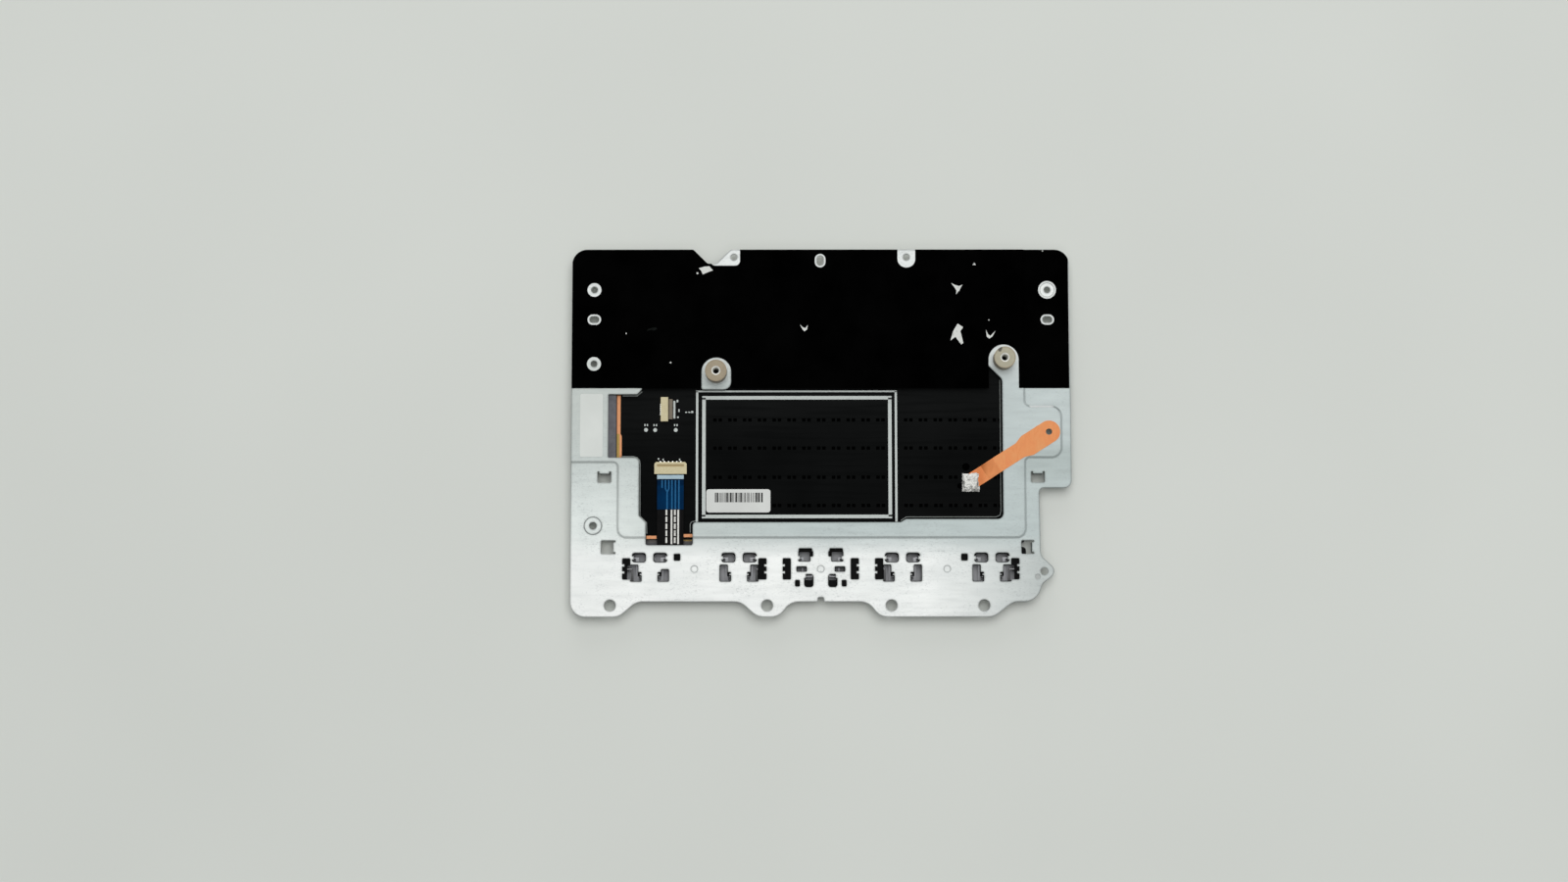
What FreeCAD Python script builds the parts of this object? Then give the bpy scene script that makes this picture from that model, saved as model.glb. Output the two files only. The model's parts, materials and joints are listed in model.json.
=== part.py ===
import FreeCAD, Part
import math
import os

V = FreeCAD.Vector

# Sizes in millimetres. The part lies on its touch face, back upwards.

# sensor board, which the rest is laid out from
board_width = 100.2
board_depth = 66.5
board_thickness = 1.0
board_corner = 1.0

# support bracket, pressed from one sheet round the board
left_margin = 11.1
right_margin = 11.4
key_band = 19.1
top_margin = 5.0
sheet = 0.5
step_height = 0.35
step_run = 0.45
step_lap = 0.25
step_corner = 1.7
field_left_inset = 0.9
field_right_inset = 0.45
field_low_inset = 0.75
field_ear_drop = 0.63
plate_corner = 3.7

# outline details of the bracket
notch_offset = 1.1
notch_depth = 3.5
notch_floor = 2.2
notch_top = 9.2
notch_corner = 0.8
lower_side = 3.4
flange_drop = 7.45
flange_corner = 1.8
flange_fillet = 1.2
ear_rise = 14.9
ear_out = 4.5
ear_drop = 3.9
ear_height = 6.8
ear_fillet = 2.4
ear_corner = 1.8
ear_root_fillet = 1.8
low_corner = 4.2
low_edge_rise = 3.7
bump_corner = 4.0
catch_half = 0.75
catch_height = 1.1
catch_corner = 0.45
catch_fillet = 0.25

# stack of flat pieces, from the floor up
surface_thickness = 1.1
adhesive_thickness = 0.1
tape_thickness = 1.0
film_thickness = 0.1
label_thickness = 0.08

# touch surface, adhesive, tape and gasket round the board
surface_lap = 0.2
surface_lip = 1.4
surface_corner = 2.0
adhesive_inset = 0.5
tape_inset = 1.3
tape_window_gap = 0.9
gasket_lap = 2.2
gasket_gap = 0.2
gasket_corner = 0.3

# window in the bracket, from the board's edges
window_side = 5.6
window_right_side = 5.4
window_rise = 4.0
window_right_rise = 4.75
window_reach = 42.8
window_ear_out = 2.0
window_ear_top = 35.5
window_ear_bottom = 19.9
window_slope = 1.2
window_slope_place = 30.5
window_cut_corner = 3.6
window_corner = 1.45
window_fillet = 0.8
window_cut_fillet = 1.6
window_tight = 0.5
cable_slot_start = 7.3
cable_slot_width = 11.5
cable_slot_drop = 1.6

# standoffs
standoff_side = 24.5
standoff_low = 1.9
standoff_out = 0.4
standoff_high = 1.3
standoff_height = 4.0
standoff_radius = 2.65
standoff_shank_radius = 1.6
thread_radius = 0.8
thread_mouth_radius = 1.1
tongue_half = 3.65
tongue_drop = 4.2

# raised tongue at the right edge
right_tongue_centre = 26.2
right_tongue_half = 5.8
right_tongue_inset = 2.85
right_tongue_corner = 2.0

# holes
locating_hole_radius = 0.78
screw_hole_radius = 1.4
ear_hole_radius = 0.9
side_hole_inset = 5.5
upper_hole_inset = 10.05
lower_hole_rise = 6.05
ring_hole_rise = 3.15
ring_radius = 2.05
ring_height = 0.12
ring_groove = 0.22
slot_inset = 17.45
side_slot_length = 2.35
side_slot_width = 1.6
top_slot_length = 2.4
top_slot_width = 1.65
top_slot_inset = 2.75
top_hole_offset = 5.4
top_hole_inset = 1.9
screw_hole_rise = 2.8
ear_hole_out = 1.05
ear_hole_drop = 3.8
mark_depth = 0.1
centre_mark_radius = 0.85
ear_mark_radius = 0.65
ear_mark_in = 0.55
ear_mark_drop = 5.15

# windows with a bent tab, beside the board
side_window_drop = 3.95
side_window_height = 2.2
side_window_width = 3.3
low_window_drop = 0.45
low_window_height = 3.3
low_window_width = 3.0
right_low_window_width = 2.55
tab_length = 1.6
tab_sheet = 0.3
tab_relief = 0.45
tab_relief_reach = 0.5
tab_lap = 0.05

# film
film_rise = 1.5
film_left_inset = 0.05
film_right_inset = 0.25
film_ring_gap = 0.95
film_slot_gap = 0.5
standoff_cut_radius = 3.7
film_notch_left = 0.4
film_notch_right = 6.9
film_notch_depth = 4.0
film_notch_corner = 1.2
film_tongue_half = 2.2
film_tongue_depth = 4.5

# keys
key_gap = 0.5
key_row_inset = 0.1
surface_gap = 0.8
middle_key_width = 22.1
key_depth = 11.4
key_recess = 0.15
key_wall = 0.5
key_skirt = 1.55
key_corner = 1.0
cluster_inset = 8.4
cap_face = key_recess + key_wall

# scissor mechanism
membrane_thickness = 0.12
upper_row = 2.5
row_spacing = 4.5
lever_reach = 5.5
pin_radius = 0.2
cross_pin_radius = 0.12
pin_rise = 1.2
cap_pin_z = 1.15
bracket_pin_z = cap_pin_z + pin_rise
arm_thickness = 0.4
side_hook_span = 4.3
middle_hook_span = 5.5
middle_low_span = 4.05
pin_clearance = 0.08
pin_end_gap = 0.05
hook_sheet = 0.4
hook_half = 0.4
hook_lip = 0.35
hook_lap = 0.05
lip_thickness = 0.25
end_hook_gap = 0.3
end_hook_sheet = 0.3

# cut-outs of the lower band
cut_corner = 0.3
cut_round = 0.7
side_cut_width = 3.4
middle_cut_width = 3.65
middle_low_cut_width = 2.25
angle_cut_reach = 0.45
foot_reach = 2.35
membrane_lap = 0.3
membrane_inset = 0.15
arm_rise = 2.85
short_arm_rise = 1.75
foot_rise = 1.05
membrane_foot_rise = 0.05
far_opening = 1.2
middle_cut_step = 0.7
small_cut_inset = 6.7
small_cut_half = 0.8

# stabiliser wires
wire_radius = 0.25
wire_row = 5.2
wire_run = 4.6
wire_cap_z = 1.1
side_leg_inset = 4.1
middle_leg_inset = 4.15
wire_tip = 1.4
wire_slot_start = 0.4
wire_slot_width = 2.0
wire_slot_half = 2.6
wire_lip = 1.7
wire_hook_half = 0.5
wire_tooth = 0.6
wire_tooth_half = 0.28
wire_tooth_place = 0.85
side_wire_clip = 6.0
middle_wire_clip_inset = 1.3

# rubber domes
side_dome_radius = 2.6
dome_side_gap = 0.2
dome_tip_share = 0.46
dome_wall = 0.35
dome_flange = 0.25
dome_gap = 0.05

# connectors and cable
socket_height = 1.0
cable_offset = 6.0
cable_width = 6.5
cable_socket_width = 7.9
cable_socket_depth = 2.95
cable_socket_drop = 1.05
cable_slot_depth = 1.8
cable_latch_depth = 1.0
socket_corner = 0.4
groove_depth = 0.12
groove_inset = 0.6
groove_start = 0.65
groove_width = 0.75
latch_thickness = 0.3
latch_gap = 0.12
cable_latch_gap = 0.24
cable_slot_gap = 0.06
stiffener_thickness = 0.15
stiffener_gap = 0.1
stiffener_end = 3.2
pin_count = 6
pin_height = 0.15
cable_pin_pitch = 1.0
cable_pin_width = 0.3
cable_pin_length = 0.25
host_offset = 5.25
host_drop = 0.625
host_socket_width = 1.8
host_socket_length = 5.95
host_wall = 0.5
host_slot_low = 0.3
host_slot_height = 0.3
host_latch_width = 1.0
host_latch_length = 4.95
host_pin_pitch = 0.5
host_pin_width = 0.2
host_pin_length = 0.2

# ground strap and foil
strap_inset = 5.45
strap_angle = 212.5
strap_thickness = 0.1
strap_width = 4.0
strap_pad_radius = 2.75
strap_pad_length = 7.4
strap_shoulder = 1.0
strap_shoulder_round = 1.2
strap_flat = 15.2
strap_drop = 3.4
strap_end = 22.0
foil_reach = 0.7
foil_half_width = 2.15
foil_half_depth = 2.4
foil_thickness = 0.22

# labels
barcode_gap = 3.25
barcode_width = 15.75
barcode_rise = 2.5
barcode_depth = 5.7
barcode_corner = 0.7
side_label_gap = 1.35
side_label_width = 5.55
side_label_rise = 0.2
side_label_over = 0.1
side_label_corner = 0.4

# small parts under the film
chip_x = 2.5
chip_size = 5.0
chip_depth = 4.8
chip_height = 0.8
chip_drop = 2.9
capacitor_count = 6
capacitor_pitch = 1.4
capacitor_gap = 2.0
capacitor_width = 0.6
capacitor_length = 1.2
capacitor_height = 0.5
capacitor_drop = 1.5

left = -(board_width / 2 + left_margin)
right = board_width / 2 + right_margin
plate_depth = board_depth + key_band + top_margin
top = plate_depth / 2
bottom = -plate_depth / 2
board_left = -board_width / 2
board_right = board_width / 2
board_low = bottom + key_band
board_high = top - top_margin

board_z = surface_thickness + adhesive_thickness
board_top_z = board_z + board_thickness
high_z = board_top_z + tape_thickness
low_z = high_z - step_height
high_top = high_z + sheet
low_top = low_z + sheet
membrane_z = low_z - membrane_thickness
lip_z = bracket_pin_z - pin_radius - pin_clearance - lip_thickness
lever_angle = math.degrees(math.atan2(pin_rise, row_spacing))
below = -1.0
above = high_top + 1.0

window_left = board_left + window_side
window_right = board_right - window_right_side
window_low = board_low + window_rise
window_top = board_low + window_reach
ear_window_top = board_low + window_ear_top
ear_window_bottom = board_low + window_ear_bottom
cable_slot_left = board_left + cable_slot_start
cable_slot_right = cable_slot_left + cable_slot_width
standoff_left_x = board_left + standoff_side
tongue_y = board_low + right_tongue_centre
film_low = ear_window_top + film_rise
notch_x = standoff_left_x - notch_offset
top_hole_half = -notch_x - top_hole_offset
lower_right = board_right + lower_side
ear_root_y = bottom + ear_rise

surface_half = board_width / 2 + surface_lap
surface_low = board_low - surface_lip
key_row_half = surface_half - key_row_inset
middle_half = middle_key_width / 2
side_key_width = key_row_half - middle_half - key_gap
key_top_y = surface_low - surface_gap
key_low_y = key_top_y - key_depth
row_y = key_top_y - upper_row
low_row_y = row_y - row_spacing
wire_hook_y = key_top_y - wire_row
cluster_offset = side_key_width / 2 - cluster_inset
side_wire_leg = side_key_width / 2 - side_leg_inset
middle_wire_leg = middle_half - middle_leg_inset
key_centre_x = middle_half + key_gap + side_key_width / 2
cable_x = cable_slot_left + cable_offset
host_socket_x = window_left + host_offset
strap_x = right - strap_inset

keys = [
    ("left", -key_centre_x, side_key_width),
    ("middle", 0.0, middle_key_width),
    ("right", key_centre_x, side_key_width),
]


def corner_arc(before, here, after, radius):
    """Points where a rounded corner starts and ends, with its middle."""
    p = V(*here)
    a = (V(*before) - p).normalize()
    b = (V(*after) - p).normalize()
    half = a.getAngle(b) / 2
    reach = radius / math.tan(half)
    bisector = (a + b).normalize()
    middle = p + bisector * (radius / math.sin(half) - radius)
    return p + a * reach, middle, p + b * reach


def outline(points, z=0.0):
    """Closed wire through (x, y, corner radius) points."""
    edges = []
    count = len(points)
    marks = []
    for i in range(count):
        before = (points[i - 1][0], points[i - 1][1], z)
        here = (points[i][0], points[i][1], z)
        after = (points[(i + 1) % count][0], points[(i + 1) % count][1], z)
        if points[i][2] > 0:
            marks.append(corner_arc(before, here, after, points[i][2]))
        else:
            marks.append((V(*here), None, V(*here)))
    for i in range(count):
        start, middle, end = marks[i]
        following = marks[(i + 1) % count][0]
        if middle is not None:
            edges.append(Part.Arc(start, middle, end).toShape())
        if (following - end).Length > 1e-6:
            edges.append(Part.makeLine(end, following))
    return Part.Wire(edges)


def prism(points, z0, z1):
    face = Part.Face(outline(points, z0))
    return face.extrude(V(0, 0, z1 - z0))


def grow(points, distance):
    """The same outline moved outwards; points run clockwise."""
    moved = []
    count = len(points)
    for i in range(count):
        x, y, radius = points[i]
        px, py = points[i - 1][0], points[i - 1][1]
        nx, ny = points[(i + 1) % count][0], points[(i + 1) % count][1]
        a = V(x - px, y - py, 0).normalize()
        b = V(nx - x, ny - y, 0).normalize()
        na = V(-a.y, a.x, 0)
        nb = V(-b.y, b.x, 0)
        shift = (na + nb) * (distance / (1 + na.dot(nb)))
        turn = a.cross(b).z
        new_radius = radius + distance if turn < 0 else radius - distance
        moved.append((x + shift.x, y + shift.y, max(new_radius, 0.05) if radius > 0 else 0))
    return moved


def box(x0, x1, y0, y1, z0, z1):
    return Part.makeBox(x1 - x0, y1 - y0, z1 - z0, V(x0, y0, z0))


def disc(x, y, radius, z0, z1):
    return Part.makeCylinder(radius, z1 - z0, V(x, y, z0))


def rod_x(x0, x1, y, z, radius):
    return Part.makeCylinder(radius, x1 - x0, V(x0, y, z), V(1, 0, 0))


def rectangle(x0, x1, y0, y1, radius=0.0):
    return [(x0, y1, radius), (x1, y1, radius), (x1, y0, radius), (x0, y0, radius)]


def stadium(x, y, length_x, length_y, z0, z1):
    """Long hole; the corners stop just short of meeting."""
    radius = min(length_x, length_y) / 2 * 0.999
    points = rectangle(x - length_x / 2, x + length_x / 2, y - length_y / 2, y + length_y / 2, radius)
    return prism(points, z0, z1)


def mirrored(x, side, a, b):
    """Two places at one side of x, the smaller first."""
    return sorted((x + side * a, x + side * b))


def padded_box(shape, gap):
    b = shape.BoundBox
    return box(b.XMin - gap, b.XMax + gap, b.YMin - gap, b.YMax + gap, b.ZMin - gap, b.ZMax + gap)


def joined(shapes):
    result = shapes[0]
    if len(shapes) > 1:
        result = result.multiFuse(shapes[1:])
    return result.removeSplitter()


def save(name, shape):
    shape.exportStep("parts/" + name + ".step")


def plate_points():
    low = bottom + low_edge_rise
    return [
        (left, top, plate_corner),
        (notch_x - notch_top / 2, top, notch_corner),
        (notch_x - notch_floor / 2, top - notch_depth, notch_corner),
        (notch_x + notch_floor / 2, top - notch_depth, notch_corner),
        (notch_x + notch_top / 2, top, notch_corner),
        (right, top, plate_corner),
        (right, ear_window_bottom - flange_drop, flange_corner),
        (lower_right, ear_window_bottom - flange_drop, flange_fillet),
        (lower_right + 0.25, ear_root_y, ear_fillet),
        (lower_right + ear_out, ear_root_y - ear_drop, ear_corner),
        (lower_right + 0.6, ear_root_y - ear_height, ear_root_fillet),
        (lower_right - 0.8, low, low_corner),
        (board_right - 3.2, low, bump_corner),
        (board_right - 7.9, bottom, bump_corner),
        (middle_half + 3.25, bottom, bump_corner),
        (middle_half + 0.55, low, bump_corner),
        (catch_half, low, catch_fillet),
        (catch_half, low + catch_height, catch_corner),
        (-catch_half, low + catch_height, catch_corner),
        (-catch_half, low, catch_fillet),
        (3.65 - middle_half, low, bump_corner),
        (0.85 - middle_half, bottom, bump_corner),
        (-middle_half - 4.45, bottom, bump_corner),
        (-middle_half - 8.55, low, bump_corner),
        (board_left + 5.1, low, bump_corner),
        (board_left + 0.9, bottom, bump_corner),
        (left, bottom, plate_corner),
    ]


def high_points():
    """The raised field that the board lies under, run past the plate's edges at two sides."""
    margin = 3.0
    tongue_end = right - right_tongue_inset
    field_left = board_left + field_left_inset
    field_right = board_right - field_right_inset
    field_low = board_low + field_low_inset
    left_step = ear_window_bottom - field_ear_drop
    return [
        (left - margin, top + margin, 0),
        (field_right, top + margin, 0),
        (field_right, tongue_y + right_tongue_half, right_tongue_corner),
        (tongue_end, tongue_y + right_tongue_half, right_tongue_corner),
        (tongue_end, tongue_y - right_tongue_half, right_tongue_corner),
        (field_right, tongue_y - right_tongue_half, step_corner),
        (field_right, field_low, step_corner),
        (field_left, field_low, step_corner),
        (field_left, left_step, step_corner),
        (left - margin, left_step, 0),
    ]


def window_points():
    right_low = board_low + window_right_rise
    slope_x = board_right - window_slope_place
    slot_low = board_low - cable_slot_drop
    tongue_end = window_top - standoff_low - tongue_drop
    return [
        (window_left + 0.6, window_top, window_fillet),
        (standoff_left_x - tongue_half, window_top, window_fillet),
        (standoff_left_x - tongue_half, tongue_end, window_tight),
        (standoff_left_x + tongue_half, tongue_end, 1.9),
        (standoff_left_x + tongue_half, window_top, window_fillet),
        (window_right - window_cut_corner, window_top, window_cut_fillet),
        (window_right, window_top - window_cut_corner, window_cut_fillet),
        (window_right, right_low, window_corner),
        (slope_x + window_slope, right_low, window_tight),
        (slope_x, window_low, window_tight),
        (cable_slot_right, window_low, window_fillet),
        (cable_slot_right, slot_low, window_tight),
        (cable_slot_left, slot_low, window_tight),
        (cable_slot_left, window_low, window_tight),
        (window_left, window_low + 1.6, window_tight),
        (window_left, ear_window_bottom, flange_fillet),
        (board_left - window_ear_out, ear_window_bottom, 0.2),
        (board_left - window_ear_out, ear_window_top, 0.2),
        (window_left - 0.5, ear_window_top, window_tight),
        (window_left + 0.6, ear_window_top + 1.2, window_tight),
    ]


def clusters():
    """Scissor places: key, name, centre, span to the bracket hooks."""
    places = []
    for name, x, _ in keys:
        if name == "middle":
            places.append((name, name, x, middle_hook_span))
        else:
            outwards = math.copysign(cluster_offset, x)
            places.append((name, name + "_far", x + outwards, side_hook_span))
            places.append((name, name + "_near", x - outwards, side_hook_span))
    return places


def lever_sides(span):
    """Half widths: inner arm, its pin, outer arm, its pin, all from the hook span."""
    sides = {
        "inner_in": span - 3.75,
        "inner_out": span - 3.05,
        "inner_pin": span - 1.85,
        "outer_in": span - 1.65,
        "outer_out": span - 0.95,
        "outer_pin": span - hook_sheet - pin_end_gap,
    }
    if span == middle_hook_span:
        sides["inner_pin"] = middle_low_span - hook_sheet - pin_end_gap
        sides["outer_in"] = span - 1.3
        sides["outer_out"] = span - 0.85
    return sides


def cut(a, b, y0, y1, radius):
    return prism(rectangle(a, b, y0, y1, radius), below, above)


def side_cut(x, side, near, far, y0, y1, radius):
    """Cut-out at one side of a scissor's middle, between two distances from it."""
    a, b = mirrored(x, side, near, far)
    return cut(a, b, y0, y1, radius)


def side_cluster_cuts(x, span, side, rise, foot, inset=0.0, lap=0.0):
    """Upper cut-out, lower angled cut-out with its foot; inset and lap make them smaller."""
    low = low_row_y - 1.3 + inset
    arm_top = low_row_y + rise - inset
    foot_top = low_row_y + foot
    upper_low = row_y - 1.1 + inset
    upper_top = row_y + 1.25 - inset - lap
    reach = angle_cut_reach - inset
    return [
        side_cut(x, side, span - side_cut_width + inset, span - inset, upper_low, upper_top, cut_round),
        side_cut(x, side, span - 1.55 + inset, span + reach, low, arm_top, cut_corner),
        side_cut(x, side, span - foot_reach + inset, span - 1.0, low, foot_top, cut_corner),
    ]


def middle_cluster_cuts(x, span, side):
    """Upper cut-out with a band along its top, slot, rounded lower cut-out and a small hole."""
    low_span = middle_low_span
    low_near = low_span - middle_low_cut_width
    step_near = span - middle_cut_width + middle_cut_step
    return [
        side_cut(x, side, span - middle_cut_width, span, row_y + 0.3, row_y + 1.7, cut_corner),
        side_cut(x, side, step_near, span, row_y - 0.9, row_y + 1.7, cut_corner),
        side_cut(x, side, span - 3.4, span - 0.1, row_y + 0.9, row_y + 2.35, cut_corner),
        side_cut(x, side, span - 2.1, span + angle_cut_reach, row_y - 3.4, row_y - 2.1, cut_corner),
        side_cut(x, side, low_near, low_span, low_row_y - 2.65, low_row_y + 0.55, cut_round),
        side_cut(x, side, span - 0.4, span + small_cut_half, low_row_y - 2.5, low_row_y - 0.9, cut_corner),
    ]


def middle_membrane_cuts(x, span, side):
    """Openings of the membrane behind the middle scissor, smaller than those of the sheet."""
    inset = membrane_inset
    low_near = middle_low_span - middle_low_cut_width + inset
    low_far = middle_low_span - inset
    slot_low = row_y - 3.4 + inset
    slot_top = row_y - 2.1 - membrane_lap
    upper_low = row_y - 0.9 + inset
    upper_near = span - middle_cut_width + middle_cut_step + inset
    reach = angle_cut_reach - inset
    return [
        side_cut(x, side, upper_near, span - inset, upper_low, row_y + 1.45, cut_corner),
        side_cut(x, side, span - 2.1 + inset, span + reach, slot_low, slot_top, cut_corner),
        side_cut(x, side, low_near, low_far, low_row_y - 0.9, low_row_y + 0.4, cut_corner),
    ]


def side_hook(x, side, span, y):
    """Tab at the cut-out's outer side, bent down into a wall with a lip under the pin."""
    a, b = mirrored(x, side, span - hook_sheet, span + hook_lap)
    wall = box(a, b, y - hook_half, y + hook_half, lip_z, low_top)
    a, b = mirrored(x, side, span - hook_sheet - hook_lip, span)
    lip = box(a, b, y - hook_half, y + hook_half, lip_z, lip_z + lip_thickness)
    return [wall, lip]


def end_hook(x, side, span):
    """Tab at the inner side of the foot, bent down into a wall with a lip under the pin."""
    a, b = mirrored(x, side, span - foot_reach - hook_lap, span - foot_reach + hook_half)
    y = low_row_y + end_hook_gap + end_hook_sheet
    wall = box(a, b, low_row_y + end_hook_gap, y, lip_z, low_top)
    lip = box(a, b, low_row_y - 0.5, y, lip_z, lip_z + lip_thickness)
    return [wall, lip]


def arm_height(place, side):
    """Height of an angled cut-out's arm; one of them is short."""
    return short_arm_rise if place == "left_far" and side > 0 else arm_rise


def scissor_cuts():
    shapes = []
    for _, place, x, span in clusters():
        for side in (-1, 1):
            if span == middle_hook_span:
                shapes += middle_cluster_cuts(x, span, side)
            else:
                shapes += side_cluster_cuts(x, span, side, arm_height(place, side), foot_rise)
    return shapes


def membrane_cuts():
    """Openings of the membrane, a little smaller than those of the sheet above it."""
    shapes = []
    lap = membrane_lap - membrane_inset
    for _, place, x, span in clusters():
        for side in (-1, 1):
            if span == middle_hook_span:
                shapes += middle_membrane_cuts(x, span, side)
            else:
                rise = arm_height(place, side)
                shapes += side_cluster_cuts(x, span, side, rise, membrane_foot_rise, membrane_inset, lap)
            if place.endswith("far") and side * x > 0:
                top_y = low_row_y + arm_rise - membrane_inset
                shapes.append(side_cut(x, side, span, span + far_opening, low_row_y - 1.0, top_y, cut_corner))
    return shapes


def scissor_hooks():
    """Bent hooks that hold the scissors to the bracket."""
    hooks = []
    for _, _, x, span in clusters():
        for side in (-1, 1):
            hooks += side_hook(x, side, span, row_y)
            if span == middle_hook_span:
                hooks += side_hook(x, side, middle_low_span, low_row_y)
            else:
                hooks += end_hook(x, side, span)
    return hooks


def wire_leg(name):
    return middle_wire_leg if name == "middle" else side_wire_leg


def wire_slots():
    cuts = []
    for name, x, _ in keys:
        start = wire_leg(name) + wire_slot_start
        for side in (-1, 1):
            a, b = mirrored(x, side, start, start + wire_slot_width)
            cuts.append(cut(a, b, wire_hook_y - wire_slot_half, wire_hook_y + wire_slot_half, cut_corner))
    return cuts


def wire_hook(x, side, start):
    """Lip under a wire's tip, with two small teeth beside it."""
    lip = bracket_pin_z - wire_radius - pin_clearance - lip_thickness
    end = start + wire_slot_width
    y0 = wire_hook_y - wire_hook_half
    y1 = wire_hook_y + wire_hook_half
    a, b = mirrored(x, side, end, end + hook_sheet)
    shapes = [box(a, b, y0, y1, lip, low_z + hook_lap)]
    a, b = mirrored(x, side, end - wire_lip, end + hook_sheet)
    shapes.append(box(a, b, y0, y1, lip, lip + lip_thickness))
    a, b = mirrored(x, side, end - wire_tooth + hook_lap, end + hook_lap)
    for y in (wire_hook_y - wire_tooth_place, wire_hook_y + wire_tooth_place):
        shapes.append(box(a, b, y - wire_tooth_half, y + wire_tooth_half, low_z, low_top))
    return shapes


def wire_hooks():
    hooks = []
    for name, x, _ in keys:
        for side in (-1, 1):
            hooks += wire_hook(x, side, wire_leg(name) + wire_slot_start)
    return hooks


def side_hook_windows():
    """Windows with a tab bent down from one edge: x0, x1, y0, y1, edge."""
    high_1 = ear_window_bottom - side_window_drop
    high_0 = high_1 - side_window_height
    low_1 = board_low - low_window_drop
    low_0 = low_1 - low_window_height
    left_1 = board_left - 1.25
    right_0 = board_right + 1.5
    left_2 = board_left - 0.6
    right_2 = board_right + 1.5
    return [
        (left_1 - side_window_width, left_1, high_0, high_1, "top"),
        (right_0, right_0 + side_window_width, high_0, high_1, "top"),
        (left_2 - low_window_width, left_2, low_0, low_1, "right"),
        (right_2 - right_low_window_width, right_2, low_0, low_1, "right"),
    ]


def side_tabs():
    tabs = []
    z0 = low_z - tab_length
    z1 = low_z + tab_lap
    for x0, x1, y0, y1, edge in side_hook_windows():
        if edge == "top":
            y = y1 - tab_lap
            tabs.append(box(x0 + tab_relief, x1 - tab_relief, y, y + tab_sheet, z0, z1))
        else:
            x = x1 - tab_lap
            tabs.append(box(x, x + tab_sheet, y0 + tab_relief, y1 - tab_relief, z0, z1))
    return tabs


def side_window_cuts():
    cuts = []
    lap = 2 * tab_lap
    reach = tab_relief_reach
    for x0, x1, y0, y1, edge in side_hook_windows():
        cuts.append(cut(x0, x1, y0, y1, cut_corner))
        if edge == "top":
            cuts.append(cut(x0, x0 + tab_relief, y1 - 3 * lap, y1 + reach, 0))
            cuts.append(cut(x1 - tab_relief, x1, y1 - 3 * lap, y1 + reach, 0))
        else:
            cuts.append(cut(x1 - 3 * lap, x1 + reach, y0, y0 + tab_relief, 0))
            cuts.append(cut(x1 - 3 * lap, x1 + reach, y1 - tab_relief, y1, 0))
    return cuts


def film_holes():
    """Round locating holes with a ring of bare metal: x, y, radius."""
    side_left = left + side_hole_inset
    return [
        (side_left, top - upper_hole_inset, locating_hole_radius),
        (side_left, film_low + lower_hole_rise, locating_hole_radius),
        (right - side_hole_inset, top - upper_hole_inset, locating_hole_radius),
    ]


def screw_holes():
    y = bottom + screw_hole_rise
    places = (board_left - 1.35, -middle_half - 2.05, middle_half + 6.2, board_right - 10.25)
    return [(x, y, screw_hole_radius) for x in places]


def ring_hole():
    return left + side_hole_inset, board_low + ring_hole_rise


def other_holes():
    """Holes outside the film: x, y, radius."""
    x, y = ring_hole()
    return [
        (-top_hole_half, top - top_hole_inset, locating_hole_radius),
        (top_hole_half, top - top_hole_inset, locating_hole_radius),
        (x, y, ear_hole_radius),
        (lower_right + ear_hole_out, ear_root_y - ear_hole_drop, ear_hole_radius),
        (strap_x, tongue_y, locating_hole_radius),
    ]


def slots():
    """Long locating holes: x, y, length in x, length in y."""
    return [
        (left + side_hole_inset, top - slot_inset, side_slot_length, side_slot_width),
        (right - side_hole_inset, top - slot_inset, side_slot_length, side_slot_width),
        (0.0, top - top_slot_inset, top_slot_width, top_slot_length),
    ]


def plate_blank():
    """The pressed sheet before any hole is made in it."""
    whole = prism(plate_points(), low_z, high_top)
    field = high_points()
    high = prism(grow(field, step_lap), high_z, high_top).common(whole)
    low = prism(plate_points(), low_z, low_top)
    pocket = prism(grow(field, -step_lap), below, above)
    upper = outline(grow(field, step_lap), high_top)
    lower = outline(grow(field, step_lap + step_run), low_top)
    ramp = Part.makeLoft([lower, upper], True, True).common(whole)
    return joined([low.cut(pocket), high, ramp.cut(pocket)])


def lower_band_cuts():
    cuts = scissor_cuts() + wire_slots()
    for side in (-1, 1):
        x = side * (key_centre_x + cluster_offset - small_cut_inset)
        cuts.append(cut(x - small_cut_half, x + small_cut_half, row_y - 0.7, row_y + 1.0, cut_corner))
    return cuts


def shallow_marks():
    """Round marks pressed a little into the lower band."""
    marks = [(x, wire_hook_y, centre_mark_radius) for _, x, _ in keys]
    marks.append((lower_right - ear_mark_in, ear_root_y - ear_mark_drop, ear_mark_radius))
    return [disc(x, y, radius, low_top - mark_depth, above) for x, y, radius in marks]


def raised_ring():
    x, y = ring_hole()
    ring = disc(x, y, ring_radius, low_top - mark_depth, low_top + ring_height)
    return ring.cut(disc(x, y, ear_hole_radius, below, above))


def ring_cut():
    """Groove round the raised ring."""
    x, y = ring_hole()
    outer = disc(x, y, ring_radius + ring_groove, low_top - mark_depth, above)
    return outer.cut(disc(x, y, ring_radius, below, above + 1))


def support_bracket(blank):
    cuts = [prism(window_points(), below, above)]
    for x, y, radius in film_holes() + screw_holes() + other_holes():
        cuts.append(disc(x, y, radius, below, above))
    for x, y, length_x, length_y in slots():
        cuts.append(stadium(x, y, length_x, length_y, below, above))
    for x, y in standoff_places():
        cuts.append(disc(x, y, standoff_shank_radius, below, above))
    cuts += lower_band_cuts() + side_window_cuts() + shallow_marks() + [ring_cut()]
    bends = side_tabs() + wire_hooks() + scissor_hooks()
    return joined([blank.cut(cuts), raised_ring()] + bends)


def standoff_places():
    return [
        (standoff_left_x, window_top - standoff_low),
        (window_right + standoff_out, window_top + standoff_high),
    ]


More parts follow.
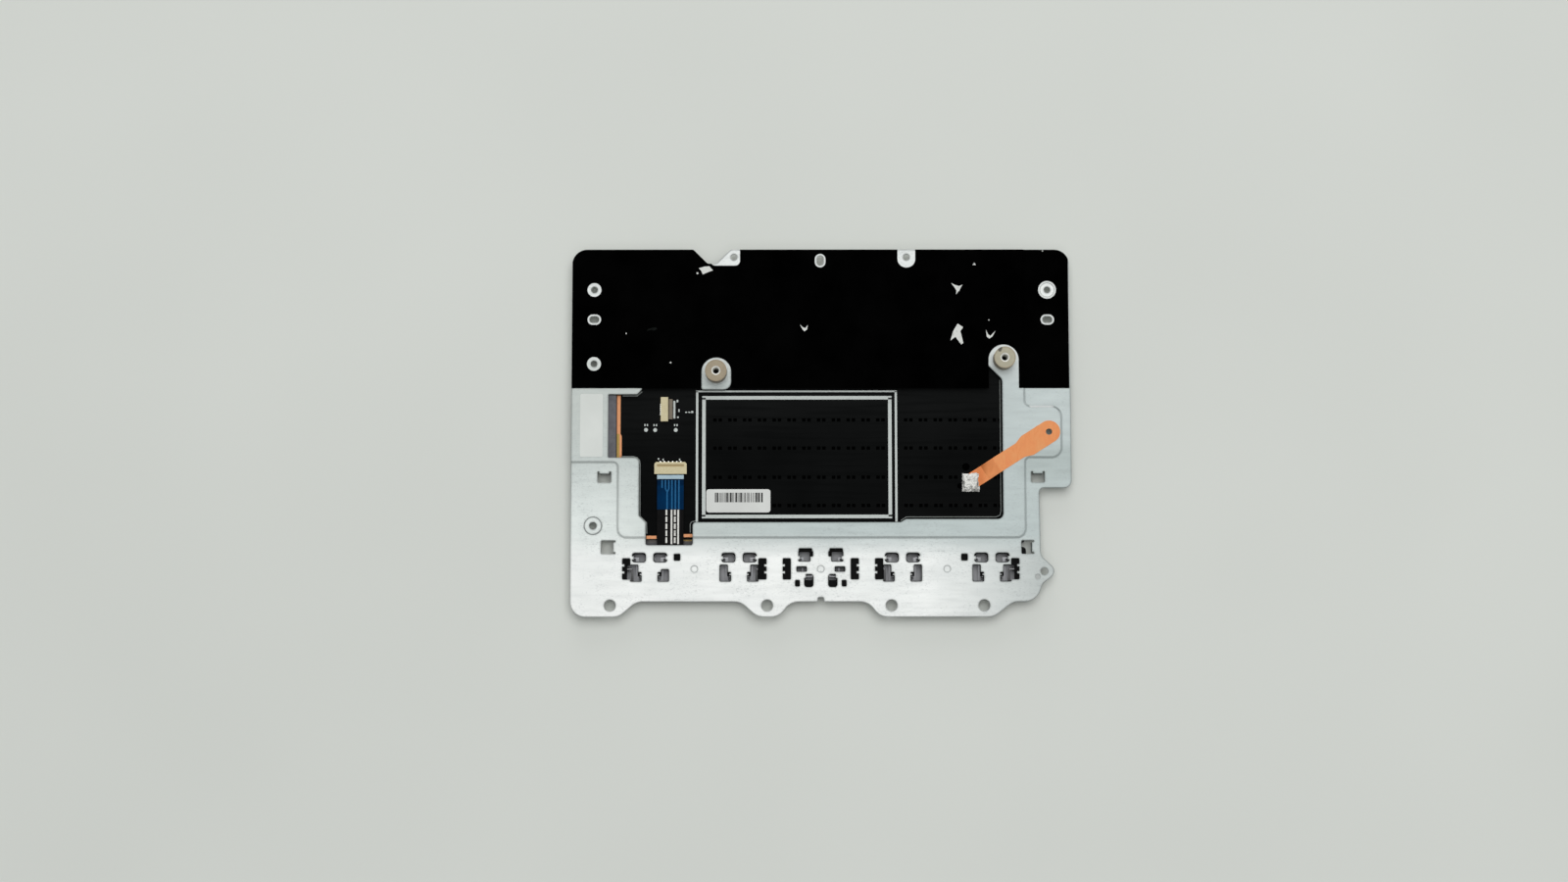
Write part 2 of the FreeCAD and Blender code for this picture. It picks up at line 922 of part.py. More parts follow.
def standoff(x, y):
    mouth_z = high_top + standoff_height
    head = disc(x, y, standoff_radius, high_top, mouth_z)
    shank = disc(x, y, standoff_shank_radius, high_z, high_top)
    bore = disc(x, y, thread_radius, below, mouth_z + 1)
    depth = thread_mouth_radius - thread_radius
    mouth = Part.makeCone(thread_radius, thread_mouth_radius, depth, V(x, y, mouth_z - depth))
    return joined([head, shank]).cut([bore, mouth])


def film_cuts():
    cuts = []
    for x, y in standoff_places():
        cuts.append(disc(x, y, standoff_cut_radius, below, above))
        cuts.append(cut(x - standoff_cut_radius, x + standoff_cut_radius, film_low - 1, y, 0))
    for x, y, radius in film_holes():
        cuts.append(disc(x, y, radius + film_ring_gap, below, above))
    for x, y, length_x, length_y in slots():
        cuts.append(stadium(x, y, length_x + 2 * film_slot_gap, length_y + 2 * film_slot_gap, below, above))
    cuts.append(cut(notch_x - film_notch_left, notch_x + film_notch_right, top - film_notch_depth, top + 3,
                    film_notch_corner))
    cuts.append(cut(top_hole_half - film_tongue_half, top_hole_half + film_tongue_half,
                    top - film_tongue_depth, top + 5, film_tongue_half * 0.98))
    return cuts


def insulating_film(blank):
    layer = blank.copy()
    layer.translate(V(0, 0, film_thickness))
    area = box(left + film_left_inset, right - film_right_inset, film_low, top + 1, low_top - 0.2, above)
    return layer.cut(blank).common(area).cut(film_cuts())


def board_points(inset):
    return rectangle(board_left + inset, board_right - inset, board_low + inset, board_high - inset,
                     board_corner)


def sensor_board():
    return prism(board_points(0.0), board_z, board_top_z)


def touch_surface():
    points = rectangle(-surface_half, surface_half, surface_low, board_high + surface_lap, surface_corner)
    return prism(points, 0.0, surface_thickness)


def surface_adhesive():
    return prism(board_points(adhesive_inset), surface_thickness, board_z)


def board_tapes():
    """Foam between board and bracket; the window parts the lower left corner from the rest."""
    whole = prism(board_points(tape_inset), board_top_z, high_z)
    opening = prism(grow(window_points(), tape_window_gap), below, above)
    step_room = box(board_right - tape_inset - 0.1, right, board_low, top, below, above)
    ear_middle = (ear_window_top + ear_window_bottom) / 2
    corner = box(left, cable_x, bottom, ear_middle, below, above)
    return whole.cut([opening, step_room, corner]), whole.common(corner).cut(opening)


def edge_gasket():
    points = rectangle(board_left - window_ear_out - gasket_lap, -surface_half + gasket_gap / 2,
                       ear_window_bottom - gasket_gap, ear_window_top - gasket_gap, gasket_corner)
    return prism(points, board_top_z, high_z)


def outer_lever(x, span):
    """Hinged on the bracket at the upper row; its far bar slides in the cap."""
    side = lever_sides(span)
    length = math.hypot(row_spacing, pin_rise)
    reach = length * lever_reach / row_spacing
    half = arm_thickness / 2
    z = bracket_pin_z
    shapes = [rod_x(x - side["outer_out"], x + side["outer_out"], row_y - reach, z, half)]
    holes = []
    for sign in (-1, 1):
        a, b = mirrored(x, sign, side["outer_in"], side["outer_out"])
        shapes.append(box(a, b, row_y - reach, row_y, z - half, z + half))
        shapes.append(rod_x(a, b, row_y, z, half))
        holes.append(rod_x(a - 1, b + 1, row_y - length / 2, z, cross_pin_radius + pin_clearance / 2))
        a, b = mirrored(x, sign, side["outer_in"], side["outer_pin"])
        shapes.append(rod_x(a, b, row_y, z, pin_radius))
    frame = joined(shapes).cut(holes)
    frame.rotate(V(x, row_y, z), V(1, 0, 0), lever_angle)
    return frame


def inner_lever(x, span):
    """Hinged in the cap at the upper row; its lower pins slide in the bracket hooks."""
    side = lever_sides(span)
    length = math.hypot(row_spacing, pin_rise)
    half = arm_thickness / 2
    z = cap_pin_z
    shapes = []
    for y in (row_y, row_y - length):
        shapes.append(rod_x(x - side["inner_out"], x + side["inner_out"], y, z, pin_radius))
    for sign in (-1, 1):
        a, b = mirrored(x, sign, side["inner_in"], side["inner_out"])
        shapes.append(box(a, b, row_y - length, row_y, z - half, z + half))
        shapes.append(rod_x(a, b, row_y, z, half))
        a, b = mirrored(x, sign, side["inner_in"], side["inner_pin"])
        shapes.append(rod_x(a, b, row_y - length, z, pin_radius))
        a, b = mirrored(x, sign, side["inner_in"], side["outer_out"] - 0.15)
        shapes.append(rod_x(a, b, row_y - length / 2, z, cross_pin_radius))
    frame = joined(shapes)
    frame.rotate(V(x, row_y, z), V(1, 0, 0), -lever_angle)
    return frame


def wire(x, leg):
    """Bent stabiliser: long run in the cap, two legs, tips in the bracket hooks."""
    run_y = wire_hook_y - wire_run
    shapes = [rod_x(x - leg, x + leg, run_y, wire_cap_z, wire_radius)]
    for side in (-1, 1):
        corner = V(x + side * leg, run_y, wire_cap_z)
        end = V(x + side * leg, wire_hook_y, bracket_pin_z)
        shapes.append(Part.makeSphere(wire_radius, corner))
        shapes.append(Part.makeSphere(wire_radius, end))
        shapes.append(Part.makeCylinder(wire_radius, (end - corner).Length, corner, end - corner))
        shapes.append(Part.makeCylinder(wire_radius, wire_tip, end, V(side, 0, 0)))
    return joined(shapes)


def cap_clip(x):
    """Ring that holds an inner lever's bar in the cap, split at its open side."""
    half = 0.38
    clip = box(x - half, x + half, row_y - 0.6, row_y + 0.6, cap_face - 0.1, cap_pin_z + 0.42)
    bore = rod_x(x - half - 1, x + half + 1, row_y, cap_pin_z, pin_radius + pin_clearance)
    split = box(x - half - 1, x + half + 1, row_y - 0.15, row_y + 0.15, cap_pin_z, cap_pin_z + 2)
    return clip.cut([bore, split])


def cap_guide(x):
    """Slotted post for the outer lever's bar."""
    half = 0.5
    y = row_y - lever_reach
    post = box(x - half, x + half, y - 0.75, y + 0.72, cap_face - 0.1, cap_pin_z + 0.25)
    slot = box(x - half - 1, x + half + 1, y - 0.48, y + 0.42, cap_face, cap_pin_z + 0.12)
    return post.cut(slot)


def wire_clip(x):
    half = 0.5
    y = wire_hook_y - wire_run
    post = box(x - half, x + half, y - 0.7, y + 0.55, cap_face - 0.1, wire_cap_z + 0.5)
    slot = box(x - half - 1, x + half + 1, y - 0.5, y + wire_radius + pin_clearance, cap_face,
               wire_cap_z + wire_radius + 0.12)
    return post.cut(slot)


def key_cap(name, x, width):
    half = width / 2
    top_z = key_recess + key_skirt
    body = prism(rectangle(x - half, x + half, key_low_y, key_top_y, key_corner), key_recess, top_z)
    inner = half - key_wall
    hollow = prism(rectangle(x - inner, x + inner, key_low_y + key_wall, key_top_y - key_wall,
                             key_corner - key_wall), cap_face, top_z + 1)
    fittings = []
    for key, _, centre, _ in clusters():
        if key == name:
            fittings += [cap_clip(centre), cap_guide(centre)]
    clip = middle_wire_leg - middle_wire_clip_inset if name == "middle" else side_wire_clip
    for side in (-1, 1):
        fittings.append(wire_clip(x + side * clip))
    return joined([body.cut(hollow)] + fittings)


def dome_radius(name):
    if name == "middle":
        return lever_sides(middle_hook_span)["inner_in"] - dome_side_gap
    return side_dome_radius


def rubber_dome(x, radius):
    y = row_y - row_spacing / 2
    base = membrane_z - dome_flange
    start = V(x, y, cap_face + dome_gap)
    height = base - start.z
    tip = radius * dome_tip_share
    shoulder = radius - dome_wall
    flange = disc(x, y, radius, base, membrane_z)
    cone = Part.makeCone(tip, shoulder, height, start)
    hollow = Part.makeCone(tip - dome_wall, shoulder - dome_wall, height, start + V(0, 0, dome_wall))
    return joined([flange, cone]).cut(hollow)


def membrane():
    """Sheet under the lower band; its tail runs up into the cable socket."""
    y1 = key_top_y + 0.2
    sheet_part = prism(rectangle(-key_row_half, key_row_half, y1 - key_depth, y1, 1.0), membrane_z, low_z)
    tail_top = cable_socket_span()[0] + cable_slot_depth - 0.1
    half = cable_width / 2
    tail = box(cable_x - half, cable_x + half, y1 - 0.5, tail_top, membrane_z, low_z)
    cuts = membrane_cuts()
    for shape in scissor_hooks() + wire_hooks():
        cuts.append(padded_box(shape, 0.1))
    for x, y, radius in screw_holes():
        cuts.append(disc(x, y, radius + 0.3, below, above))
    return joined([sheet_part, tail]).cut(cuts)


def cable_socket_span():
    y1 = ear_window_bottom - cable_socket_drop
    return y1 - cable_socket_depth, y1


def cable_socket():
    y0, y1 = cable_socket_span()
    x0 = cable_x - cable_socket_width / 2
    x1 = cable_x + cable_socket_width / 2
    top_z = board_top_z + socket_height
    chamfer = socket_corner
    plan = [(x0 + chamfer, y1, 0), (x1 - chamfer, y1, 0), (x1, y1 - chamfer, 0), (x1, y0, 0), (x0, y0, 0),
            (x0, y1 - chamfer, 0)]
    gap = cable_slot_gap
    half = cable_width / 2 + gap
    slot = box(cable_x - half, cable_x + half, y0 - 1, y0 + cable_slot_depth, membrane_z - gap, low_z + gap)
    groove_y = y1 - groove_start
    groove = box(x0 + groove_inset, x1 - groove_inset, groove_y - groove_width, groove_y,
                 top_z - groove_depth, top_z + 1)
    return prism(plan, board_top_z, top_z).cut([slot, groove])


def cable_latch():
    """Flip lock; its back edge is the round pivot."""
    radius = latch_thickness / 2
    pivot_y = cable_socket_span()[0] - cable_latch_gap - radius
    pivot_z = low_z + latch_gap + radius
    half = cable_width / 2
    bar = box(cable_x - half, cable_x + half, pivot_y + radius - cable_latch_depth, pivot_y,
              pivot_z - radius, pivot_z + radius)
    return joined([bar, rod_x(cable_x - half, cable_x + half, pivot_y, pivot_z, radius)])


def pin_places(centre, pitch):
    first = centre - pitch * (pin_count - 1) / 2
    return [first + pitch * i for i in range(pin_count)]


def cable_contacts():
    _, y1 = cable_socket_span()
    half = cable_pin_width / 2
    pins = []
    for x in pin_places(cable_x, cable_pin_pitch):
        pins.append(box(x - half, x + half, y1, y1 + cable_pin_length, board_top_z, board_top_z + pin_height))
    return Part.makeCompound(pins)


def cable_stiffener():
    y1 = cable_socket_span()[0] - cable_latch_gap - cable_latch_depth - stiffener_gap
    half = cable_width / 2
    y0 = window_low + stiffener_end
    return box(cable_x - half, cable_x + half, y0, y1, low_z, low_z + stiffener_thickness)


def host_span():
    y1 = ear_window_top - host_drop
    return y1 - host_socket_length, y1


def host_middle():
    return sum(host_span()) / 2


def host_socket():
    y0, y1 = host_span()
    x1 = host_socket_x + host_socket_width
    half = host_latch_length / 2
    z0 = board_top_z + host_slot_low
    body = box(host_socket_x, x1, y0, y1, board_top_z, board_top_z + socket_height)
    slot = box(host_socket_x + host_wall, x1 + 1, host_middle() - half, host_middle() + half,
               z0, z0 + host_slot_height)
    return body.cut(slot)


def host_latch():
    """Flip lock of the empty socket; its back edge is the round pivot."""
    radius = latch_thickness / 2
    half = host_latch_length / 2
    pivot_x = host_socket_x + host_socket_width + latch_gap + radius
    pivot_z = board_top_z + socket_height - radius
    y0 = host_middle() - half
    bar = box(pivot_x, pivot_x - radius + host_latch_width, y0, y0 + host_latch_length,
              pivot_z - radius, pivot_z + radius)
    pivot = Part.makeCylinder(radius, host_latch_length, V(pivot_x, y0, pivot_z), V(0, 1, 0))
    return joined([bar, pivot])


def host_contacts():
    half = host_pin_width / 2
    x0 = host_socket_x - host_pin_length
    pins = []
    for y in pin_places(host_middle(), host_pin_pitch):
        pins.append(box(x0, host_socket_x, y - half, y + half, board_top_z, board_top_z + pin_height))
    return Part.makeCompound(pins)


def strap_path(z_shift):
    """Side view of the strap's lower or upper face: distance from the hole, height."""
    return [
        (-strap_pad_radius - 1.0, high_top + z_shift),
        (strap_flat, high_top + z_shift),
        (strap_flat + strap_drop, board_top_z + z_shift),
        (strap_end, board_top_z + z_shift),
    ]


def copper_strap():
    reach = 5.0
    lower = [V(s, -reach, z) for s, z in strap_path(0.0)]
    upper = [V(s, -reach, z) for s, z in strap_path(strap_thickness)]
    side_view = Part.Face(Part.makePolygon(lower + upper[::-1] + lower[:1]))
    band = side_view.extrude(V(0, 2 * reach, 0))
    pad = [
        (0, strap_pad_radius, 0),
        (strap_pad_length - strap_shoulder, strap_pad_radius, strap_shoulder_round),
        (strap_pad_length + strap_shoulder, strap_width / 2, 0),
        (strap_pad_length + strap_shoulder, -strap_width / 2, 0),
        (strap_pad_length - strap_shoulder, -strap_pad_radius, strap_shoulder_round),
        (0, -strap_pad_radius, 0),
    ]
    plan = joined([
        box(0, strap_end, -strap_width / 2, strap_width / 2, below, above),
        prism(pad, below, above),
        disc(0, 0, strap_pad_radius, below, above),
    ])
    shape = band.common(plan).cut(disc(0, 0, locating_hole_radius, below, above))
    shape.rotate(V(0, 0, 0), V(0, 0, 1), strap_angle)
    shape.translate(V(strap_x, tongue_y, 0))
    return shape


def foil_patch(strap):
    reach = strap_end + foil_reach
    x = strap_x + reach * math.cos(math.radians(strap_angle))
    y = tongue_y + reach * math.sin(math.radians(strap_angle))
    patch = box(x - foil_half_width, x + foil_half_width, y - foil_half_depth, y + foil_half_depth,
                board_top_z, board_top_z + foil_thickness)
    return patch.cut(strap)


def barcode_label():
    x0 = cable_slot_right + barcode_gap
    y0 = window_low + barcode_rise
    points = rectangle(x0, x0 + barcode_width, y0, y0 + barcode_depth, barcode_corner)
    return prism(points, board_top_z, board_top_z + label_thickness)


def side_label():
    x1 = board_left - window_ear_out - side_label_gap
    points = rectangle(x1 - side_label_width, x1, ear_window_bottom + side_label_rise,
                       ear_window_top + side_label_over, side_label_corner)
    return prism(points, high_top, high_top + label_thickness)


def controller_chip():
    y = window_top - chip_drop
    return box(chip_x, chip_x + chip_size, y - chip_depth / 2, y + chip_depth / 2,
               board_top_z, board_top_z + chip_height)


def board_capacitors():
    y = window_top - capacitor_drop
    first = chip_x + chip_size + capacitor_gap
    parts = []
    for i in range(capacitor_count):
        x = first + capacitor_pitch * i
        parts.append(box(x, x + capacitor_width, y - capacitor_length, y,
                         board_top_z, board_top_z + capacitor_height))
    return Part.makeCompound(parts)


def save_keys():
    for name, x, width in keys:
        save(name + "_key", key_cap(name, x, width))
        save(name + "_dome", rubber_dome(x, dome_radius(name)))
        save(name + "_wire", wire(x, wire_leg(name)))
    for _, place, x, span in clusters():
        save(place + "_outer_lever", outer_lever(x, span))
        save(place + "_inner_lever", inner_lever(x, span))


def main():
    os.makedirs("parts", exist_ok=True)
    blank = plate_blank()
    save("support_bracket", support_bracket(blank))
    save("insulating_film", insulating_film(blank))
    save("touch_surface", touch_surface())
    save("surface_adhesive", surface_adhesive())
    save("sensor_board", sensor_board())
    tape, corner_tape = board_tapes()
    save("board_tape", tape)
    save("corner_tape", corner_tape)
    save("edge_gasket", edge_gasket())
    for name, (x, y) in zip(("left", "right"), standoff_places()):
        save("standoff_" + name, standoff(x, y))
    save("cable_socket", cable_socket())
    save("cable_latch", cable_latch())
    save("cable_contacts", cable_contacts())
    save("host_socket", host_socket())
    save("host_latch", host_latch())
    save("host_contacts", host_contacts())
    save("switch_membrane", membrane())
    save("cable_stiffener", cable_stiffener())
    strap = copper_strap()
    save("copper_strap", strap)
    save("foil_patch", foil_patch(strap))
    save("barcode_label", barcode_label())
    save("side_label", side_label())
    save("controller_chip", controller_chip())
    save("board_capacitors", board_capacitors())
    save_keys()


main()
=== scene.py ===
import json
import math
import random

import bmesh
import bpy
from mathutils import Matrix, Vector, noise


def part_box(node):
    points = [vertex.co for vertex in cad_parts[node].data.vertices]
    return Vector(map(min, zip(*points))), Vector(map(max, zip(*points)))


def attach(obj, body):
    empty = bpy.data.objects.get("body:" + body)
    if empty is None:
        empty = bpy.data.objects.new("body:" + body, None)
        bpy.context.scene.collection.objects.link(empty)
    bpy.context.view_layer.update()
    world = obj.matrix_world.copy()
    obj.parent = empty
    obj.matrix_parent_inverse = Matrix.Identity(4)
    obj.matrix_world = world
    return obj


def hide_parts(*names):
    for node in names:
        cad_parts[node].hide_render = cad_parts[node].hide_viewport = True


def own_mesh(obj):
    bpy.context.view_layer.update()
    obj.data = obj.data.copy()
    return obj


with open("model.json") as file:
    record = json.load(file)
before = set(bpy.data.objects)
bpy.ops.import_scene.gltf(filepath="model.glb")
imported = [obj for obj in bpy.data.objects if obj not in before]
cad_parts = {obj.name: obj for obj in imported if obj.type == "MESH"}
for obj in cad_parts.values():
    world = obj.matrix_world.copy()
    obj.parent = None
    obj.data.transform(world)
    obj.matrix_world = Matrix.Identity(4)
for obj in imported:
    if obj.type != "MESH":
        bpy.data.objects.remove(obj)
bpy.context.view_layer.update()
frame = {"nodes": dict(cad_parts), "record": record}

# Measures are in millimetres in the part's frame, and MM turns them into metres.
MM = 0.001
PRINT = 0.025
KEY_PITCH = 30.875

# the photo's camera, with angles in degrees and the focal length in photo pixels
CAMERA_PLACE = (-9.0, -63.7, 601.4)
CAMERA_TILT = 5.87
CAMERA_ROLL = -0.04
CAMERA_NEAR = 10.0
FOCAL_PIXELS = 2500.0
IMAGE_WIDTH = 1600.0
SENSOR = 36.0

# lamps aimed at the origin: name, place and size in metres, power in watts
LAMPS = (
    ("window_lamp", (0.14, 0.58, 1.65), 1.7, 18.6),
    ("ceiling_lamp", (0.1, -0.3, 1.8), 2.4, 8.8),
    ("low_lamp", (-0.1, 1.7, 0.55), 1.0, 6.0),
)
SKY_COLOUR = (0.98, 1.0, 0.99, 1.0)
SKY_STRENGTH = 0.28
FLOOR_REACH = 3000.0
FLOOR_DROP = 0.1

scene = bpy.context.scene
nodes = frame["nodes"]


def top_of(node):
    """Height of a node's upper side at rest."""
    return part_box(node)[1].z / MM


def middle_of(node):
    """Middle of a node, seen from above."""
    low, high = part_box(node)
    return (low.x + high.x) / 2 / MM, (low.y + high.y) / 2 / MM


BOARD_TOP = top_of("sensor_board")
BARCODE_TOP = top_of("barcode_label")
CABLE_TOP = top_of("switch_membrane")
STIFFENER_TOP = top_of("cable_stiffener")
SURFACE_BACK = top_of("touch_surface")
FILM_TOP = top_of("insulating_film")
# the raised field stands this much above the bracket's sides and lower band
FIELD_RISE = 0.35
SIDE_FILM_TOP = FILM_TOP - FIELD_RISE
BAND_TOP = top_of("support_bracket") - FIELD_RISE


def srgb(red, green, blue):
    """A colour as seen on a screen, 0 to 255, turned into linear light."""
    linear = []
    for value in (red, green, blue):
        share = value / 255
        linear.append(share / 12.92 if share <= 0.04045 else ((share + 0.055) / 1.055) ** 2.4)
    return (*linear, 1.0)


class Shader:
    """A principled material with a few short cuts for building its nodes."""

    NOISE_LOW, NOISE_HIGH = 0.3, 0.7

    def __init__(self, name, roughness=0.5, metallic=0.0, specular=0.5):
        self.material = bpy.data.materials.new(name)
        self.material.use_nodes = True
        self.tree = self.material.node_tree
        self.surface = self.tree.nodes["Principled BSDF"]
        self.set("Roughness", roughness)
        self.set("Metallic", metallic)
        self.set("Specular IOR Level", specular)
        self.place = self.add("ShaderNodeTexCoord").outputs["Object"]

    def set(self, socket, value):
        self.surface.inputs[socket].default_value = value

    def add(self, kind, **values):
        node = self.tree.nodes.new(kind)
        for key, value in values.items():
            setattr(node, key, value)
        return node

    def link(self, source, target):
        self.tree.links.new(source, target)

    def plug(self, source, socket):
        self.link(source, self.surface.inputs[socket])

    def feed(self, socket, value):
        """Gives a socket a constant or another node's output."""
        if isinstance(value, (int, float, tuple)):
            socket.default_value = value
        else:
            self.link(value, socket)

    def noise(self, size, detail=4.0, stretch=(1.0, 1.0, 1.0), distortion=0.0):
        """Noise whose marks are about size millimetres across."""
        mapping = self.add("ShaderNodeMapping")
        mapping.inputs["Scale"].default_value = stretch
        self.link(self.place, mapping.inputs["Vector"])
        texture = self.add("ShaderNodeTexNoise")
        texture.inputs["Scale"].default_value = 1 / (size * MM)
        texture.inputs["Detail"].default_value = detail
        texture.inputs["Distortion"].default_value = distortion
        self.link(mapping.outputs["Vector"], texture.inputs["Vector"])
        return texture.outputs["Fac"]

    def ramp(self, factor, *stops):
        node = self.add("ShaderNodeValToRGB")
        elements = node.color_ramp.elements
        while len(elements) < len(stops):
            elements.new(0.5)
        for element, (position, colour) in zip(elements, stops):
            element.position = position
            element.color = colour
        self.link(factor, node.inputs["Fac"])
        return node.outputs["Color"]

    def shades(self, cloud, dark, light):
        """Two close colours that follow a noise."""
        return self.ramp(cloud, (self.NOISE_LOW, dark), (self.NOISE_HIGH, light))

    def fit(self, value, low, high, new_low=0.0, new_high=1.0):
        node = self.add("ShaderNodeMapRange")
        node.inputs["From Min"].default_value = low
        node.inputs["From Max"].default_value = high
        node.inputs["To Min"].default_value = new_low
        node.inputs["To Max"].default_value = new_high
        self.link(value, node.inputs["Value"])
        return node.outputs["Result"]

    def maths(self, operation, first, second=0.0):
        node = self.add("ShaderNodeMath", operation=operation)
        self.feed(node.inputs[0], first)
        self.feed(node.inputs[1], second)
        return node.outputs["Value"]

    def times(self, first, second):
        return self.maths("MULTIPLY", first, second)

    def mix(self, factor, first, second):
        node = self.add("ShaderNodeMix", data_type="RGBA")
        for name, value in (("Factor", factor), ("A", first), ("B", second)):
            self.feed(next(i for i in node.inputs if i.name == name and i.enabled), value)
        return next(o for o in node.outputs if o.enabled)

    def vector(self, operation, first, second, output="Vector"):
        node = self.add("ShaderNodeVectorMath", operation=operation)
        self.feed(node.inputs[0], first)
        self.feed(node.inputs[1], second)
        return node.outputs[output]

    def part_of(self, vector, axis):
        split = self.add("ShaderNodeSeparateXYZ")
        self.link(vector, split.inputs["Vector"])
        return split.outputs[axis]

    def axis(self, name):
        return self.part_of(self.place, name)

    def facing(self, name):
        return self.part_of(self.add("ShaderNodeNewGeometry").outputs["Normal"], name)

    def zone(self, *rises):
        """One inside a zone: each rise is an axis, where the zone starts and where it is full."""
        share = None
        for name, start, full in rises:
            rise = self.fit(self.axis(name), start * MM, full * MM)
            share = rise if share is None else self.times(share, rise)
        return share

    def bump(self, height, depth, strength, rim=0.0):
        """Relief about depth millimetres deep, with edges softened over rim millimetres."""
        node = self.add("ShaderNodeBump")
        if rim > 0:
            soft = self.add("ShaderNodeBevel", samples=6)
            soft.inputs["Radius"].default_value = rim * MM
            self.link(soft.outputs["Normal"], node.inputs["Normal"])
        node.inputs["Strength"].default_value = strength
        node.inputs["Distance"].default_value = depth * MM
        self.link(height, node.inputs["Height"])
        self.plug(node.outputs["Normal"], "Normal")

    def rim(self, width):
        """One at sharp edges, falling to nothing over width millimetres."""
        soft = self.add("ShaderNodeBevel", samples=8)
        soft.inputs["Radius"].default_value = width * MM
        true_normal = self.add("ShaderNodeNewGeometry").outputs["True Normal"]
        match = self.vector("DOT_PRODUCT", soft.outputs["Normal"], true_normal, "Value")
        return self.fit(match, 0.995, 0.85)

    def coat(self, tone, cloud, rough, relief, depth, strength, rim=0.0):
        """Ends a material: its colour, roughness between two values over a noise, and relief."""
        self.plug(tone, "Base Color")
        self.plug(self.fit(cloud, self.NOISE_LOW, self.NOISE_HIGH, *rough), "Roughness")
        self.bump(relief, depth, strength, rim)
        return self.material


def grained(name, dark, light, size, rough, depth=0.01, metallic=0.0, specular=0.5, stretch=(1.0, 1.0, 1.0)):
    """Moulded or printed surface: two close colours, uneven gloss and a fine grain."""
    shader = Shader(name, metallic=metallic, specular=specular)
    cloud = shader.noise(size * 6, 3.0, stretch)
    grain = shader.noise(size, 4.0, stretch)
    both = shader.times(shader.maths("ADD", cloud, grain), 0.5)
    tone = shader.ramp(both, (0.35, dark), (0.65, light))
    return shader.coat(tone, grain, rough, grain, depth, 0.6)


# where the steel's tone changes: zones of painted light and shade that stand in for how the sheet reflects
# the lamps
UPPER_FIELD = (("Y", -8, 4),)
CROWN = (("Y", 11, 24),)
FAR_LEFT = (("X", 0, -50),)
RIGHT_LOW = (("X", 47, 51), ("Y", -2, -5), ("Y", -13, -10))
LOWER_LEFT = (("X", -35, -52), ("Y", -6, -20))
BAND = (("Y", -25, -31),)
BAND_LEFT = (("X", 54, 26),)
TONGUE = (("X", 50.5, 51.5), ("Y", 4.5, 5.0))
UNDERSIDE = (("Z", 2.7, 2.5),)


def steel():
    """Satin pressed sheet: zones of painted light and shade, brighter in the lower band; faint rolling
    marks, specks and scuffs; painted shade along its edges, on the tongue's side ramps and on the parts
    below the sheet; a painted highlight on the tongue's upper ramp.
    """
    shader = Shader("pressed_steel", metallic=0.2, specular=0.25)
    # painted light and shade: the zones' tones are brighter in places and darker in others, where the sheet
    # reflects more or less of the lamps
    far_left = shader.zone(*FAR_LEFT)
    low = shader.mix(far_left, srgb(175, 185, 184), srgb(184, 191, 188))
    high = shader.mix(far_left, srgb(179, 188, 187), srgb(180, 186, 182))
    tone = shader.mix(shader.zone(*UPPER_FIELD), low, high)
    tone = shader.mix(shader.zone(*CROWN), tone, srgb(216, 219, 217))
    tone = shader.mix(shader.zone(*RIGHT_LOW), tone, srgb(164, 174, 172))
    tone = shader.mix(shader.zone(*LOWER_LEFT), tone, srgb(213, 219, 216))
    band = shader.mix(shader.zone(*BAND_LEFT), srgb(177, 183, 181), srgb(228, 230, 228))
    tone = shader.mix(shader.zone(*BAND), tone, band)
    cloud = shader.noise(14.0, 3.0)
    tone = shader.mix(shader.fit(cloud, 0.35, 0.7, 0.0, 0.16), tone, srgb(170, 180, 180))
    rolling = shader.noise(0.9, 5.0, (0.12, 1.0, 1.0))
    tone = shader.mix(shader.fit(rolling, 0.45, 0.75, 0.0, 0.1), tone, srgb(160, 168, 168))
    specks = shader.noise(0.45, 2.0, (1.0, 0.45, 1.0))
    tone = shader.mix(shader.fit(specks, 0.66, 0.74, 0.0, 0.22), tone, srgb(150, 157, 160))
    scuffs = shader.fit(shader.noise(0.5, 3.0, (0.8, 2.2, 1.0), 0.8), 0.56, 0.66, 0.0, 0.42)
    places = shader.fit(shader.noise(9.0, 2.0), 0.36, 0.56)
    tone = shader.mix(shader.times(scuffs, places), tone, srgb(146, 152, 152))
    # painted shade darkening the sheet along its sharp edges
    tone = shader.mix(shader.times(shader.rim(0.85), 0.5), tone, srgb(100, 106, 104))
    # painted shade on the tongue's ramps that face sideways, and a painted highlight on its ramp that faces
    # +Y
    tongue = shader.zone(*TONGUE)
    turned = shader.times(shader.fit(shader.facing("Y"), 0.2, 0.4, 0.0, 0.6), tongue)
    tone = shader.mix(turned, tone, srgb(110, 116, 115))
    slope = shader.times(shader.fit(shader.facing("Y"), 0.58, 0.66), tongue)
    tone = shader.mix(slope, tone, srgb(250, 251, 250))
    # painted shade on the hooks and tabs bent below the sheet
    shade = shader.times(shader.zone(*UNDERSIDE), 0.92)
    tone = shader.mix(shade, tone, srgb(20, 20, 21))
    relief = shader.maths("ADD", rolling, specks)
    return shader.coat(tone, rolling, (0.44, 0.56), relief, 0.005, 0.4, rim=0.3)


def film():
    """Black film, nearly without gloss."""
    shader = Shader("black_film", specular=0.0)
    tone = shader.ramp(shader.noise(9.0, 3.0), (0.3, srgb(1, 1, 1)), (0.75, srgb(4, 4, 4)))
    fine = shader.noise(0.25, 3.0)
    relief = shader.maths("ADD", fine, shader.noise(6.0, 2.0))
    return shader.coat(tone, fine, (0.55, 0.7), relief, 0.01, 0.35)


BOARD_UPPER = (("Y", -5, 8),)


